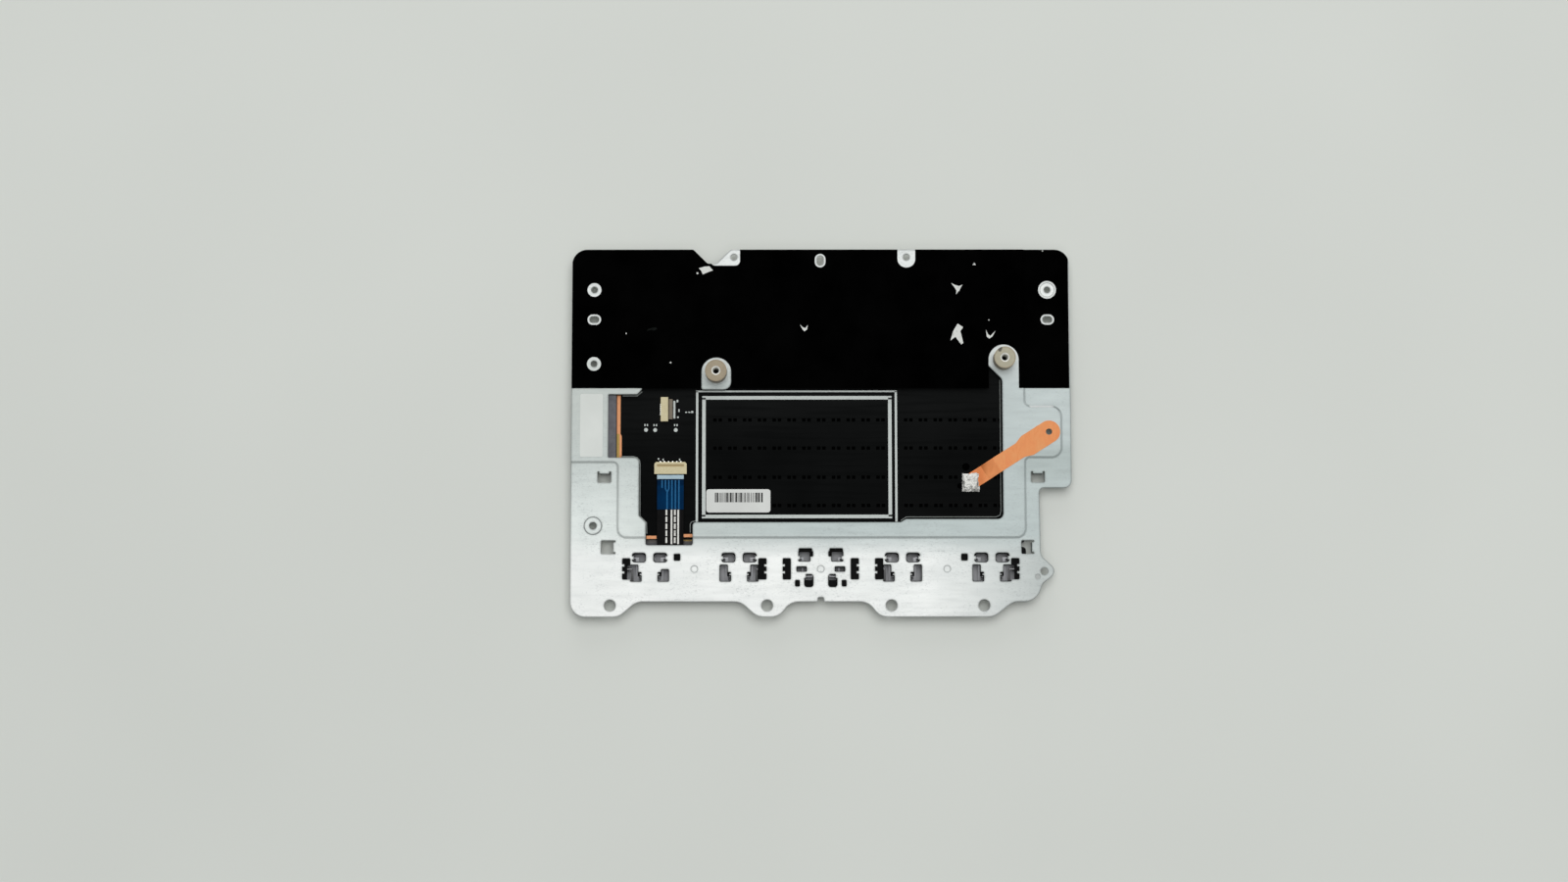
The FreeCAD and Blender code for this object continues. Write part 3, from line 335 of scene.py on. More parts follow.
def board():
    """Black solder mask, with buried tracks that show as faint bands and bare resin at its sides."""
    shader = Shader("black_board", specular=0.005)
    bands = shader.noise(1.1, 2.0, (0.05, 1.0, 1.0))
    cloud = shader.noise(16.0, 3.0)
    low = shader.shades(cloud, srgb(9, 10, 10), srgb(14, 15, 15))
    high = shader.shades(cloud, srgb(17, 18, 18), srgb(21, 22, 22))
    tone = shader.mix(shader.zone(*BOARD_UPPER), low, high)
    tone = shader.mix(shader.fit(bands, 0.5, 0.62, 0.0, 0.35), tone, srgb(8, 9, 9))
    side = shader.fit(shader.facing("Z"), 0.5, 0.2)
    tone = shader.mix(side, tone, srgb(120, 104, 62))
    return shader.coat(tone, bands, (0.34, 0.46), bands, 0.004, 0.4)


LATHE_PITCH = 0.16
MOUTH_RADIUS = (1.15, 1.05)
RIM_RADIUS = (2.25, 2.6)
BLOTCH_RADIUS = (0.7, 0.45)
BLOTCH_WAVER = 0.3


def standoff_metal(node, name, dark, light, blotch=None):
    """Turned tan metal: lathe rings about the axis, a bright mouth, painted shade on its outer rim and a
    stain.
    """
    shader = Shader(name, metallic=0.2, specular=0.3)
    x, y = middle_of(node)
    from_axis = shader.vector("SUBTRACT", shader.place, (x * MM, y * MM, 0.0))
    flat = shader.vector("MULTIPLY", from_axis, (1.0, 1.0, 0.0))
    radius = shader.vector("LENGTH", flat, (0.0, 0.0, 0.0), "Value")
    rings = shader.maths("SINE", shader.times(radius, 2 * math.pi / (LATHE_PITCH * MM)))
    cloud = shader.noise(1.3, 3.0)
    tone = shader.shades(cloud, dark, light)
    # painted shade on the outer rim
    rim = shader.fit(radius, *(r * MM for r in RIM_RADIUS), 0.0, 0.6)
    tone = shader.mix(rim, tone, srgb(126, 110, 86))
    tone = shader.mix(shader.fit(radius, *(r * MM for r in MOUTH_RADIUS)), tone, srgb(232, 232, 226))
    if blotch:
        place = (blotch[0] * MM, blotch[1] * MM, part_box(node)[1].z)
        distance = shader.vector("DISTANCE", shader.place, place, "Value")
        waver = shader.fit(cloud, 0.3, 0.7, -BLOTCH_WAVER * MM, BLOTCH_WAVER * MM)
        near = shader.maths("ADD", distance, waver)
        stain = shader.fit(near, *(r * MM for r in BLOTCH_RADIUS), 0.0, 0.85)
        tone = shader.mix(stain, tone, srgb(44, 38, 32))
    return shader.coat(tone, cloud, (0.36, 0.52), rings, 0.006, 0.4)


FOIL_TARNISH = (2.2, 0.6)


def copper():
    """Soft foil: salmon colour, long creases, darker towards the foil patch and lit on its slope."""
    shader = Shader("copper_foil", metallic=0.3, specular=0.3)
    streak = shader.noise(1.6, 4.0, (1.0, 0.5, 1.0), 0.6)
    stain = shader.fit(shader.noise(4.0, 3.0), 0.6, 0.75, 0.0, 0.5)
    tone = shader.ramp(streak, (0.3, srgb(183, 109, 60)), (0.5, srgb(193, 122, 70)),
                       (0.75, srgb(202, 138, 87)))
    tone = shader.mix(stain, tone, srgb(179, 107, 68))
    slope = shader.fit(shader.facing("Z"), 0.98, 0.92)
    tone = shader.mix(slope, tone, shader.shades(streak, srgb(234, 146, 90), srgb(246, 160, 101)))
    foil_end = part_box("foil_patch")[1].x
    tarnish = shader.fit(shader.axis("X"), *(foil_end + reach * MM for reach in FOIL_TARNISH), 0.0, 0.85)
    tone = shader.mix(tarnish, tone, srgb(182, 102, 49))
    return shader.coat(tone, streak, (0.34, 0.5), streak, 0.03, 0.6)


def foil():
    """Crumpled bright foil, its tone following the creases as painted light and shade."""
    shader = Shader("foil", metallic=0.7)
    crease = shader.noise(0.7, 4.0, distortion=0.8)
    # painted light and shade: the tone follows the creases
    tone = shader.shades(crease, srgb(104, 104, 101), srgb(176, 176, 172))
    return shader.coat(tone, crease, (0.2, 0.38), crease, 0.05, 0.5)


STIFFENER_SHADE = (("Y", -13.3, -12.9),)


def blue_film():
    """Blue film, with painted shade where it dips into the socket."""
    shader = Shader("blue_plastic", specular=0.01)
    cloud = shader.noise(3.0, 3.0)
    tone = shader.shades(cloud, srgb(0, 32, 62), srgb(0, 42, 78))
    # painted shade where the film dips into the socket
    tone = shader.mix(shader.times(shader.zone(*STIFFENER_SHADE), 0.7), tone, srgb(0, 22, 46))
    return shader.coat(tone, cloud, (0.28, 0.4), shader.noise(0.3, 2.0), 0.004, 0.4)


SOCKET_RECESS = (("Y", -8.55, -8.4), ("Y", -7.8, -7.95), ("X", -40.25, -39.95), ("X", -33.35, -33.65))


def socket_plastic():
    """Pale moulding with painted shade in a recess along its top and on the mouth for the cable."""
    shader = Shader("socket_plastic", specular=0.2)
    grain = shader.noise(0.3, 4.0)
    tone = shader.ramp(grain, (0.35, srgb(190, 180, 144)), (0.65, srgb(202, 192, 158)))
    # painted shade in the recess along the top
    tone = shader.mix(shader.times(shader.zone(*SOCKET_RECESS), 0.85), tone, srgb(158, 136, 92))
    # painted shade on the mouth's face, where the cable goes in
    mouth = shader.fit(shader.facing("Y"), -0.7, -0.9)
    tone = shader.mix(mouth, tone, srgb(34, 33, 30))
    return shader.coat(tone, grain, (0.38, 0.5), grain, 0.01, 0.6)


def key_plastic():
    """Cap moulded in dark plastic, its hidden inside paler."""
    shader = Shader("key_plastic", specular=0.35)
    grain = shader.noise(0.16, 3.0)
    cloud = shader.noise(5.0, 2.0)
    outside = shader.shades(cloud, srgb(26, 26, 28), srgb(34, 34, 36))
    inside = shader.shades(cloud, srgb(142, 143, 146), srgb(158, 159, 162))
    tone = shader.mix(shader.fit(shader.facing("Z"), 0.3, 0.6), outside, inside)
    return shader.coat(tone, grain, (0.46, 0.6), grain, 0.012, 0.5)


def paper(name, light, dark):
    """Matt label paper."""
    shader = Shader(name, specular=0.3)
    tone = shader.shades(shader.noise(6.0, 3.0), dark, light)
    fibre = shader.noise(0.2, 4.0)
    return shader.coat(tone, fibre, (0.42, 0.58), fibre, 0.004, 0.4)


def printed(name, colour, worn, roughness=0.5, specular=0.3, metallic=0.0):
    """Thin layer with small worn places: ink and plating, and marks of painted light and shade."""
    shader = Shader(name, specular=specular, metallic=metallic)
    wear = shader.noise(0.4, 4.0)
    tone = shader.ramp(wear, (0.26, worn), (0.4, colour))
    return shader.coat(tone, wear, (roughness + 0.08, roughness - 0.06), wear, 0.004, 0.3)


def placed(name, work, material):
    """Scene object made from a worked mesh."""
    mesh = bpy.data.meshes.new(name)
    work.to_mesh(mesh)
    work.free()
    mesh.materials.append(material)
    piece = bpy.data.objects.new(name, mesh)
    scene.collection.objects.link(piece)
    return piece


def drawn(name, prisms, body, material):
    """One object from flat outlines: each is (points, lower z, upper z)."""
    work = bmesh.new()
    for points, low, high in prisms:
        base = [work.verts.new(Vector((x, y, low)) * MM) for x, y in points]
        face = work.faces.new(base)
        raised = bmesh.ops.extrude_face_region(work, geom=[face])
        moved = [v for v in raised["geom"] if isinstance(v, bmesh.types.BMVert)]
        bmesh.ops.translate(work, verts=moved, vec=Vector((0, 0, (high - low) * MM)))
    bmesh.ops.recalc_face_normals(work, faces=work.faces)
    piece = placed(name, work, material)
    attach(piece, body)
    return piece


def lathe(name, profile, x, y, body, material, closed=True):
    """Turned piece: profile is (radius, z) about an upright axis."""
    work = bmesh.new()
    rows = []
    for radius, z in profile:
        rows.append([work.verts.new(Vector((*point, z)) * MM) for point in dot(x, y, radius, 48)])
    following = rows[1:] + rows[:1] if closed else rows[1:]
    for first, second in zip(rows, following):
        for i in range(len(first)):
            j = (i + 1) % len(first)
            work.faces.new((first[i], first[j], second[j], second[i]))
    bmesh.ops.recalc_face_normals(work, faces=work.faces)
    for face in work.faces:
        face.smooth = True
    piece = placed(name, work, material)
    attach(piece, body)
    return piece


def on(top, outlines, depth=PRINT):
    """Prisms that stand on one height."""
    return [(points, top, top + depth) for points in outlines]


def bar(x0, x1, y0, y1):
    return [(x0, y0), (x1, y0), (x1, y1), (x0, y1)]


def upright(x, width, low, high):
    return bar(x - width / 2, x + width / 2, low, high)


def across(y, width, left, right):
    return bar(left, right, y - width / 2, y + width / 2)


def dot(x, y, radius, count=20):
    turns = [2 * math.pi * i / count for i in range(count)]
    return [(x + radius * math.cos(t), y + radius * math.sin(t)) for t in turns]


def line(points, width):
    """Outline of a line of one width through the points, with mitred corners."""
    left_side = []
    right_side = []
    for i, here in enumerate(points):
        p = Vector(here)
        before = (p - Vector(points[i - 1])).normalized() if i > 0 else None
        after = (Vector(points[i + 1]) - p).normalized() if i < len(points) - 1 else None
        first = before or after
        second = after or before
        normal = Vector((-first.y - second.y, first.x + second.x)).normalized()
        reach = width / 2 / max(0.4, normal.dot(Vector((-first.y, first.x))))
        left_side.append(tuple(p + normal * reach))
        right_side.append(tuple(p - normal * reach))
    return left_side + right_side[::-1]


def ring(x, y, radius, width):
    """Outlines of a ring, in short straight pieces."""
    corners = dot(x, y, radius, 32)
    return [line(ends, width) for ends in zip(corners, corners[1:] + corners[:1])]


# materials of the record's slots
GRAINED = {
    "touch_face": dict(dark=srgb(38, 38, 41), light=srgb(48, 48, 51), size=0.12, rough=(0.42, 0.56)),
    "clear_adhesive": dict(dark=srgb(214, 212, 202), light=srgb(228, 226, 216), size=1.0, rough=(0.3, 0.5)),
    "black_foam": dict(dark=srgb(22, 22, 22), light=srgb(40, 40, 40), size=0.25, rough=(0.75, 0.95),
                       depth=0.08, specular=0.1),
    "grey_foam": dict(dark=srgb(82, 82, 86), light=srgb(102, 102, 106), size=0.25, rough=(0.6, 0.8),
                      depth=0.05, specular=0.2),
    "beige_plastic": dict(dark=srgb(188, 178, 142), light=srgb(200, 190, 156), size=0.3, rough=(0.38, 0.5),
                          specular=0.2),
    "pale_plastic": dict(dark=srgb(142, 166, 178), light=srgb(156, 180, 192), size=0.3, rough=(0.35, 0.48)),
    "tinned_metal": dict(dark=srgb(196, 196, 192), light=srgb(228, 228, 224), size=0.15, rough=(0.2, 0.35),
                         metallic=0.8),
    "brown_plastic": dict(dark=srgb(84, 72, 54), light=srgb(100, 88, 66), size=0.3, rough=(0.4, 0.52)),
    "black_membrane": dict(dark=srgb(12, 12, 12), light=srgb(18, 18, 18), size=0.4, rough=(0.4, 0.55),
                           specular=0.02),
    "chip_black": dict(dark=srgb(24, 24, 25), light=srgb(38, 38, 39), size=0.15, rough=(0.5, 0.65),
                       depth=0.02, specular=0.3),
    "ceramic_tan": dict(dark=srgb(150, 120, 84), light=srgb(176, 146, 106), size=0.2, rough=(0.4, 0.5)),
    "clear_rubber": dict(dark=srgb(196, 198, 196), light=srgb(216, 218, 216), size=0.4, rough=(0.4, 0.55)),
    "spring_wire": dict(dark=srgb(104, 104, 105), light=srgb(124, 124, 125), size=0.3, rough=(0.3, 0.42),
                        depth=0.005, metallic=0.5, stretch=(0.1, 1.0, 1.0)),
    "lever_plastic": dict(dark=srgb(150, 151, 154), light=srgb(168, 169, 172), size=0.3, rough=(0.42, 0.55)),
}
SLOTS = {name: grained(name, **look) for name, look in GRAINED.items()}
SLOTS.update({
    "pressed_steel": steel(),
    "black_film": film(),
    "black_board": board(),
    "blue_plastic": blue_film(),
    "copper_foil": copper(),
    "foil": foil(),
    "white_paper": paper("white_paper", srgb(208, 210, 207), srgb(200, 202, 199)),
    "key_plastic": key_plastic(),
})

# nodes whose look differs from their slot's
BLOTCH = (43.9, 20.0)
OWN_LOOKS = {
    "standoff_left": standoff_metal("standoff_left", "tan_brass_left", srgb(128, 117, 98),
                                    srgb(148, 137, 116)),
    "standoff_right": standoff_metal("standoff_right", "tan_brass_right", srgb(140, 136, 118),
                                     srgb(160, 155, 135), BLOTCH),
    "side_label": paper("side_paper", srgb(210, 214, 210), srgb(203, 207, 203)),
    "cable_socket": socket_plastic(),
}
for part in frame["record"]["subparts"]:
    node = part["node"]
    material = OWN_LOOKS.get(node) or SLOTS[part["material_slot"]]
    nodes[node].data.materials.clear()
    nodes[node].data.materials.append(material)

# inks, platings, worn places, and thin marks of painted light and shade
silk = printed("silk_print", srgb(188, 194, 191), srgb(166, 172, 168), 0.55)
# painted reflection and shade for the lines along the window's edges
edge_light_and_shade = printed("window_edge_light_and_shade", srgb(124, 129, 126), srgb(70, 74, 72), 0.55)
ink = printed("black_ink", srgb(18, 18, 18), srgb(70, 70, 70), specular=0.2)
bare_copper = printed("bare_copper", srgb(204, 140, 96), srgb(170, 114, 72), 0.4, 0.2, 0.1)
olive = printed("olive_edge", srgb(166, 136, 62), srgb(118, 96, 44), 0.45)
trace_blue = printed("trace_blue", srgb(4, 86, 132), srgb(4, 62, 102), 0.35, 0.1)
trace_white = printed("trace_white", srgb(214, 214, 208), srgb(120, 120, 116), 0.45)
via_black = printed("via_black", srgb(2, 2, 2), srgb(5, 5, 5), 0.7, 0.0)
# painted shade for the pressed rings' grooves, also used for the round mark on the ear
dark_pressing = printed("dark_pressing", srgb(166, 170, 168), srgb(190, 194, 192))
bare_steel = printed("bare_steel", srgb(214, 217, 215), srgb(198, 202, 200))
smudge = printed("smudge", srgb(20, 22, 21), srgb(8, 9, 8), 0.6, 0.0)
dark_ring = printed("dark_ring", srgb(120, 124, 123), srgb(150, 155, 153))
edge_grey = printed("edge_grey", srgb(96, 92, 88), srgb(80, 77, 74), specular=0.2)
torn_film = printed("torn_film", srgb(206, 208, 204), srgb(120, 122, 120), 0.55)

# sharp edges of pressed and moulded pieces are slightly rounded
EDGE_ROUND = {"support_bracket": 0.12, "touch_surface": 0.25, "left_key": 0.18, "middle_key": 0.18,
              "right_key": 0.18, "cable_socket": 0.08, "host_socket": 0.08, "standoff_left": 0.15,
              "standoff_right": 0.15, "controller_chip": 0.08}
FLAT_ANGLE = 1.0
SHARP_ANGLE = 50.0
for name, width in EDGE_ROUND.items():
    flatten = nodes[name].modifiers.new("flatten", "DECIMATE")
    flatten.decimate_type = "DISSOLVE"
    flatten.angle_limit = math.radians(FLAT_ANGLE)
    rounded = nodes[name].modifiers.new("rounded", "BEVEL")
    rounded.width = width * MM
    rounded.segments = 2
    rounded.limit_method = "ANGLE"
    rounded.angle_limit = math.radians(SHARP_ANGLE)
    rounded.use_clamp_overlap = name != "support_bracket"

# white lines printed on the board
LINE = 0.55
TOP_LINE = 0.42
FRAME_LINE = 0.86
OUTER_LEFT, OUTER_RIGHT, OUTER_TOP, OUTER_LOW = -30.33, 18.58, 10.2, -22.0
INNER_LEFT, INNER_RIGHT, INNER_TOP, INNER_LOW = -28.66, 17.09, 8.6, -20.7
frame_lines = [
    upright(OUTER_LEFT, LINE, OUTER_LOW, OUTER_TOP),
    upright(OUTER_RIGHT, LINE, OUTER_LOW, OUTER_TOP),
    across(OUTER_TOP, TOP_LINE, OUTER_LEFT - LINE / 2, OUTER_RIGHT + LINE / 2),
    upright(INNER_LEFT, FRAME_LINE, INNER_LOW, INNER_TOP),
    upright(INNER_RIGHT, FRAME_LINE, INNER_LOW, INNER_TOP),
]
for y in (INNER_TOP, INNER_LOW):
    frame_lines.append(across(y, FRAME_LINE, INNER_LEFT - FRAME_LINE / 2, INNER_RIGHT + FRAME_LINE / 2))
drawn("board_frame_print", on(BOARD_TOP, frame_lines), "module", silk)

# faint lines along the window's edges, all painted light and shade: thin lines of painted reflection of the
# sheet's edge in the board, and wider bands of painted shade along the sheet's edge
EDGE_LINE = 0.16
EDGE_BAND = 0.26
THIN_PATHS = (
    [(44.25, 13.0), (44.22, -19.4), (43.95, -20.4), (43.0, -20.82), (21.0, -20.82), (19.6, -21.75)],
    [(-31.95, -24.6), (-31.95, -22.5), (-31.6, -22.0), (-30.6, -21.75)],
)
BAND_PATHS = (
    [(-49.0, -5.95), (-45.9, -5.95), (-45.0, -6.25), (-44.45, -6.95), (-44.34, -7.9), (-44.3, -20.6),
     (-42.7, -22.2), (-42.6, -24.9)],
    [(-48.7, 9.1), (-45.1, 9.1), (-43.9, 10.15)],
)
edge_light_lines = [line(path, EDGE_LINE) for path in THIN_PATHS]
edge_light_lines += [line(path, EDGE_BAND) for path in BAND_PATHS]
drawn("window_edge_painted_light", on(BOARD_TOP, edge_light_lines), "module", edge_light_and_shade)

# round pads with two strokes above each, and small marks beside the sockets
PADS = ((-42.9, 0.67), (-40.65, 0.64), (-35.58, 0.64))
PAD_RADIUS = 0.47
STROKE_WIDTH = 0.3
STROKE_STARTS = (-0.42, 0.18)
STROKE_LOW, STROKE_HIGH = 0.95, 1.45
SOCKET_BAR = (-36.2, -35.7, 3.5, 7.85)
SMALL_MARKS = ((-35.4, -35.0, 7.5, 8.1), (-34.95, -34.65, 5.1, 5.8), (-35.25, -34.85, 3.6, 4.0),
               (-39.95, -39.6, -6.7, -6.3), (-38.8, -38.5, -6.95, -6.45), (-34.75, -34.45, -6.95, -6.45),
               (-33.3, -32.8, 4.9, 5.15), (-32.5, -32.0, 4.9, 5.15), (-31.8, -31.3, 4.85, 5.35))
marks = [bar(*SOCKET_BAR)]
for x, y in PADS:
    marks.append(dot(x, y, PAD_RADIUS))
    for start in STROKE_STARTS:
        marks.append(bar(x + start, x + start + STROKE_WIDTH, y + STROKE_LOW, y + STROKE_HIGH))
marks += [bar(*edges) for edges in SMALL_MARKS]
drawn("board_marks", on(BOARD_TOP, marks), "module", silk)

# rows of dark vias, in pairs, and two spots beside the foil
VIA_ROWS = (3.1, -3.85, -11.05, -18.0)
VIA_RUNS = ((-25.6, 12), (21.3, 7))
VIA_PITCH = 3.64
VIA_STARTS = (-0.75, 0.55)
VIA_WIDTH, VIA_HEIGHT = 0.85, 0.8
FOIL_SPOTS = ((35.7, -8.5, 0.95), (34.2, -13.2, 0.7))
vias = []
for y in VIA_ROWS:
    for first, count in VIA_RUNS:
        for i in range(count):
            for start in VIA_STARTS:
                left = first + VIA_PITCH * i + start
                vias.append(across(y, VIA_HEIGHT, left, left + VIA_WIDTH))
vias += [dot(*spot, 9) for spot in FOIL_SPOTS]
drawn("board_via_marks", on(BOARD_TOP, vias, PRINT / 2), "module", via_black)

# bare copper and olive edges of the board
COPPER_STEP = [(-49.4, -6.2), (-48.85, -6.2), (-48.85, -0.9), (-49.17, -0.3), (-49.4, -0.3)]
copper_edges = [
    bar(-50.05, -49.17, -0.3, 9.2),
    COPPER_STEP,
    bar(-42.7, -40.2, -26.15, -25.4),
    bar(-33.8, -31.35, -25.75, -25.0),
]
olive_edges = [bar(-50.05, -49.4, -6.2, -0.3)]
drawn("board_copper_edges", on(BOARD_TOP, copper_edges), "module", bare_copper)
drawn("board_olive_edge", on(BOARD_TOP, olive_edges), "module", olive)

# strips seen below the copper, on the back of the touch surface
grey_strips = [bar(-42.3, -40.2, -27.0, -26.3), bar(-33.6, -31.5, -27.0, -26.65)]
olive_strips = [bar(-33.6, -31.5, -26.65, -26.3)]
drawn("surface_strips", on(SURFACE_BACK, grey_strips), "module", edge_grey)
drawn("surface_olive_strip", on(SURFACE_BACK, olive_strips), "module", olive)

# pressed rings behind the keys, drawn as thin rings of painted shade where their grooves are, the ring
# around a screw hole, and a round mark on the ear
RING_LINE = 0.16
RING_RADIUS = 0.85
RING_Y = -33.6
HOLE_RING = (-55.7, -23.05, 2.1, 0.2)
ROUND_MARK = (52.95, -35.55, 0.62)
ROUND_MARK_SINK = 0.1
rings = []
for x in (-KEY_PITCH, 0.0, KEY_PITCH):
    rings += ring(x, RING_Y, RING_RADIUS, RING_LINE)
round_mark = on(BAND_TOP - ROUND_MARK_SINK, [dot(*ROUND_MARK)])
drawn("pressed_rings", on(BAND_TOP, rings), "module", dark_pressing)
drawn("hole_ring", on(BAND_TOP, ring(*HOLE_RING)), "module", dark_ring)
drawn("round_mark", round_mark, "module", dark_pressing)

# bars on the label, with widths and gaps drawn at random
BAR_LEFT, BAR_RIGHT, BAR_LOW, BAR_HIGH = -25.9, -14.1, -17.2, -14.85
BAR_WIDTHS = (0.14, 0.14, 0.28, 0.42)
BAR_GAPS = (0.16, 0.16, 0.3)
chance = random.Random(7)
bars = []
x = BAR_LEFT
while x < BAR_RIGHT:
    width = chance.choice(BAR_WIDTHS)
    bars.append(bar(x, min(x + width, BAR_RIGHT), BAR_LOW, BAR_HIGH))
    x += width + chance.choice(BAR_GAPS)
drawn("label_bars", on(BARCODE_TOP, bars), "module", ink)

# tracks in the blue stiffener: three straight ones, and three of which two join
TRACK = 0.34
TRACK_TOP, TRACK_LOW = -11.75, -18.9
STRAIGHT_TRACKS = (-36.42, -35.57, -34.71)
JOINING_TRACKS = (
    [(-38.85, TRACK_TOP), (-38.85, -13.7)],
    [(-38.02, TRACK_TOP), (-38.02, -13.9), (-37.6, -14.7), (-37.6, TRACK_LOW)],
    [(-37.18, TRACK_TOP), (-37.18, -13.9), (-37.5, -14.6)],
)
tracks = [upright(x, TRACK, TRACK_LOW, TRACK_TOP) for x in STRAIGHT_TRACKS]
tracks += [line(path, TRACK) for path in JOINING_TRACKS]
drawn("stiffener_tracks", on(STIFFENER_TOP, tracks), "module", trace_blue)

# white tracks on the cable below the stiffener, two of them dashed
TAIL = 0.42
TAIL_TOP, TAIL_LOW = -19.05, -27.5
WHOLE_TAILS = (-36.5, -34.87)
DASHED_TAILS = (-37.75, -35.68)
DASH, DASH_GAP = 1.35, 0.35
tails = [upright(x, TAIL, TAIL_LOW, TAIL_TOP) for x in WHOLE_TAILS]
for x in DASHED_TAILS:
    y = TAIL_TOP
    while y > TAIL_LOW:
        low = max(TAIL_LOW, y - DASH)
        tails.append(upright(x, TAIL, low, y))
        y = low - DASH_GAP
drawn("cable_tracks", on(CABLE_TOP, tails), "module", trace_white)

# torn places and specks in the film, the bare ring around its right hole, and a smudge
NICKS = (
    [(-30.0, 40.65), (-28.6, 41.05), (-27.4, 41.15), (-26.45, 40.1), (-27.6, 39.7), (-29.0, 39.1),
     (-29.3, 39.9)],
    [(32.3, 36.9), (33.5, 36.35), (34.3, 36.15), (35.1, 36.5), (34.3, 35.0), (33.5, 34.1), (33.6, 35.1),
     (33.1, 35.9)],
    [(33.85, 26.8), (35.2, 25.9), (34.5, 24.9), (34.9, 23.4), (35.2, 21.95), (34.65, 21.6), (33.3, 23.5),
     (32.05, 22.6), (32.4, 23.9), (32.8, 25.1)],
    [(40.8, 25.25), (41.35, 24.1), (41.9, 23.75), (43.2, 25.05), (42.4, 23.6), (41.65, 23.05), (41.0, 23.5)],
    [(-5.0, 26.6), (-4.3, 25.9), (-3.7, 25.7), (-3.05, 26.5), (-3.3, 25.3), (-3.9, 24.9), (-4.4, 25.4)],
    [(37.6, 41.4), (38.05, 42.0), (38.5, 41.4)],
)
SPECKS = ((-30.3, 39.4, 0.25), (-36.85, 17.15, 0.22), (-47.8, 24.4, 0.18), (41.55, 27.7, 0.16))
SIDE_SPECK = (55.0, 45.0, 0.16)
SPECK_SIDES = 7
FILM_HOLE_RING = (56.0, 35.25, 2.0, 0.42)
SMUDGE = [(-42.8, 25.0), (-41.9, 25.25), (-40.9, 25.1), (-40.2, 25.5), (-40.5, 25.9), (-41.6, 25.75),
          (-42.4, 25.5)]
torn = on(FILM_TOP, NICKS)
torn += on(FILM_TOP, [dot(*speck, SPECK_SIDES) for speck in SPECKS])
torn += on(SIDE_FILM_TOP, [dot(*SIDE_SPECK, SPECK_SIDES)])
drawn("film_tears", torn, "module", torn_film)
film_hole_edge = on(SIDE_FILM_TOP, ring(*FILM_HOLE_RING))
drawn("film_hole_edge", film_hole_edge, "module", bare_steel)
drawn("film_smudge", on(FILM_TOP, [SMUDGE]), "module", smudge)

# threads in the standoffs
THREAD_PITCH = 0.4
THREAD_LOW, THREAD_HIGH = 3.3, 7.3
THREAD_END, THREAD_ROOT, THREAD_CREST = 0.81, 0.8, 0.72
ROOT_FLAT = 0.02
for name in ("left", "right"):
    profile = [(THREAD_END, THREAD_LOW)]
    z = THREAD_LOW
    while z < THREAD_HIGH:
        profile += [(THREAD_ROOT, z + ROOT_FLAT), (THREAD_CREST, z + THREAD_PITCH / 2),
                    (THREAD_ROOT, z + THREAD_PITCH - ROOT_FLAT)]
        z += THREAD_PITCH
    profile.append((THREAD_END, z))
    standoff = "standoff_" + name
    thread = lathe("standoff_thread_" + name, profile, *middle_of(standoff), "module", OWN_LOOKS[standoff],
                   closed=False)

# rubber domes under the keys
DOME_Y = -33.15
DOME_BASE, DOME_TIP = 2.73, 0.7
DOME_WALL = 0.3
DOME_AXIS = 0.02
TIP_SHARE = 0.46
for key, x, radius in (("left", -KEY_PITCH, 2.6), ("middle", 0.0, 1.55), ("right", KEY_PITCH, 2.6)):
    tip = radius * TIP_SHARE
    shoulder = radius - 0.62
    profile = [
        (radius, DOME_BASE), (radius, DOME_BASE - 0.2), (radius - 0.12, DOME_BASE - 0.25),
        (radius - 0.4, DOME_BASE - 0.3), (shoulder, DOME_BASE - 0.7), (tip + 0.12, DOME_TIP + 0.5),
        (tip, DOME_TIP + 0.25), (tip - 0.06, DOME_TIP), (DOME_AXIS, DOME_TIP),
        (DOME_AXIS, DOME_TIP + DOME_WALL), (tip - DOME_WALL, DOME_TIP + DOME_WALL + 0.1),
        (shoulder - DOME_WALL, DOME_BASE - 0.65), (radius - 0.75, DOME_BASE),
    ]
    dome = lathe(key + "_rubber_dome", profile, x, DOME_Y, "module", SLOTS["clear_rubber"])
    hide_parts(key + "_dome")
    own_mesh(dome)

# the foil's upper edge: how far it dips, at shares of its width
FOIL_DIPS = ((0.0, 0.36), (0.35, 0.42), (0.55, 0.1), (0.8, 0.0), (1.0, 0.3))
FOIL_STEPS = 26
FOIL_SHEET = 0.03
FOIL_FOOT, FOIL_LOWEST = 0.06, 0.02
FOIL_SWELL, FOIL_CREASE, FOIL_RAGGED = 0.16, 0.09, 0.12


def foil_dip(share):
    """Straight lines between the dips."""
    for (start, first), (end, second) in zip(FOIL_DIPS, FOIL_DIPS[1:]):
        if share <= end:
            return first + (second - first) * (share - start) / (end - start)


def foil_point(u, v):
    """A point of the foil: it swells away from its edges, creases inside and frays at its rim."""
    low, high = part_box("foil_patch")
    x = low.x + (high.x - low.x) * u
    y = low.y + (high.y - low.y - foil_dip(u) * MM) * v
    edge = min(u, v, 1 - u, 1 - v)
    crease = noise.noise(Vector((u * 3.1, v * 2.7, 0.4))) + 0.6 * noise.noise(Vector((u * 7, v * 8, 2.0)))
    lift = FOIL_SWELL * min(1.0, edge * 6) + FOIL_CREASE * crease * min(1.0, edge * 9)
    ragged = FOIL_RAGGED * MM * noise.noise(Vector((u * 9, v * 9, 5.0))) if edge == 0 else 0.0
    z = low.z + max(FOIL_LOWEST, FOIL_FOOT + lift) * MM
    return x + ragged, y + ragged, z


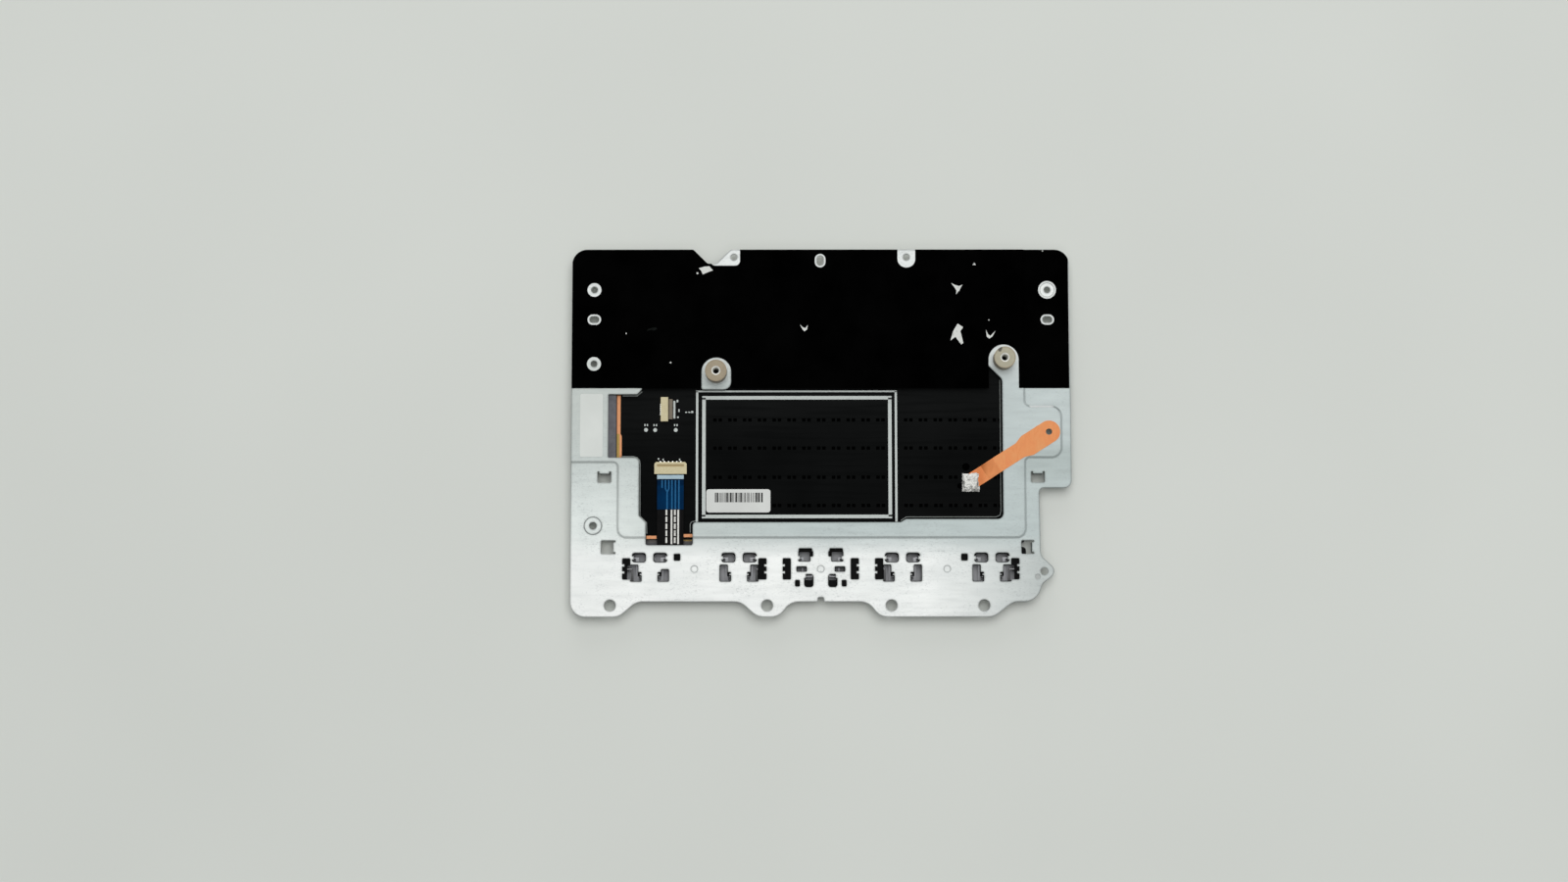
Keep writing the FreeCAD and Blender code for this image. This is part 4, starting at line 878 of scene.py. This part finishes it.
def crinkled_foil():
    """Foil square pressed over the strap's end, with creases and a ragged edge."""
    work = bmesh.new()
    shares = [i / FOIL_STEPS for i in range(FOIL_STEPS + 1)]
    rows = [[work.verts.new(foil_point(u, v)) for u in shares] for v in shares]
    for row, above in zip(rows, rows[1:]):
        for i in range(FOIL_STEPS):
            work.faces.new((row[i], row[i + 1], above[i + 1], above[i]))
    piece = placed("crinkled_foil", work, SLOTS["foil"])
    solid = piece.modifiers.new("sheet", "SOLIDIFY")
    solid.thickness = FOIL_SHEET * MM
    solid.offset = -1.0
    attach(piece, "module")
    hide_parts("foil_patch")


def floor():
    """Pale card just below the part."""
    shader = Shader("floor_card", roughness=0.9, specular=0.1)
    cloud = shader.noise(120.0, 2.0)
    shader.plug(shader.shades(cloud, srgb(206, 209, 204), srgb(210, 213, 208)), "Base Color")
    work = bmesh.new()
    corners = bar(-FLOOR_REACH, FLOOR_REACH, -FLOOR_REACH, FLOOR_REACH)
    work.faces.new([work.verts.new(Vector((x, y, -FLOOR_DROP)) * MM) for x, y in corners])
    piece = placed("floor", work, shader.material)


def lamp(name, place, size, power):
    """Round lamp that looks at the origin."""
    data = bpy.data.lights.new(name, "AREA")
    data.shape = "DISK"
    data.size = size
    data.energy = power
    light = bpy.data.objects.new(name, data)
    light.location = place
    light.rotation_euler = (-Vector(place)).to_track_quat("-Z", "Y").to_euler()
    scene.collection.objects.link(light)


def sky():
    """Even light from all sides."""
    world = bpy.data.worlds.new("studio")
    world.use_nodes = True
    background = world.node_tree.nodes["Background"]
    background.inputs["Color"].default_value = SKY_COLOUR
    background.inputs["Strength"].default_value = SKY_STRENGTH
    scene.world = world


def photo_camera():
    """Camera at the photo's place and angle."""
    lens = bpy.data.cameras.new("photo_camera")
    lens.sensor_width = SENSOR
    lens.lens = SENSOR * FOCAL_PIXELS / IMAGE_WIDTH
    lens.clip_start = CAMERA_NEAR * MM
    camera = bpy.data.objects.new("photo_camera", lens)
    camera.location = Vector(CAMERA_PLACE) * MM
    camera.rotation_euler = (math.radians(CAMERA_TILT), 0.0, math.radians(CAMERA_ROLL))
    scene.collection.objects.link(camera)
    scene.camera = camera


crinkled_foil()
floor()
for settings in LAMPS:
    lamp(*settings)
sky()
photo_camera()
scene.view_settings.view_transform = "Standard"
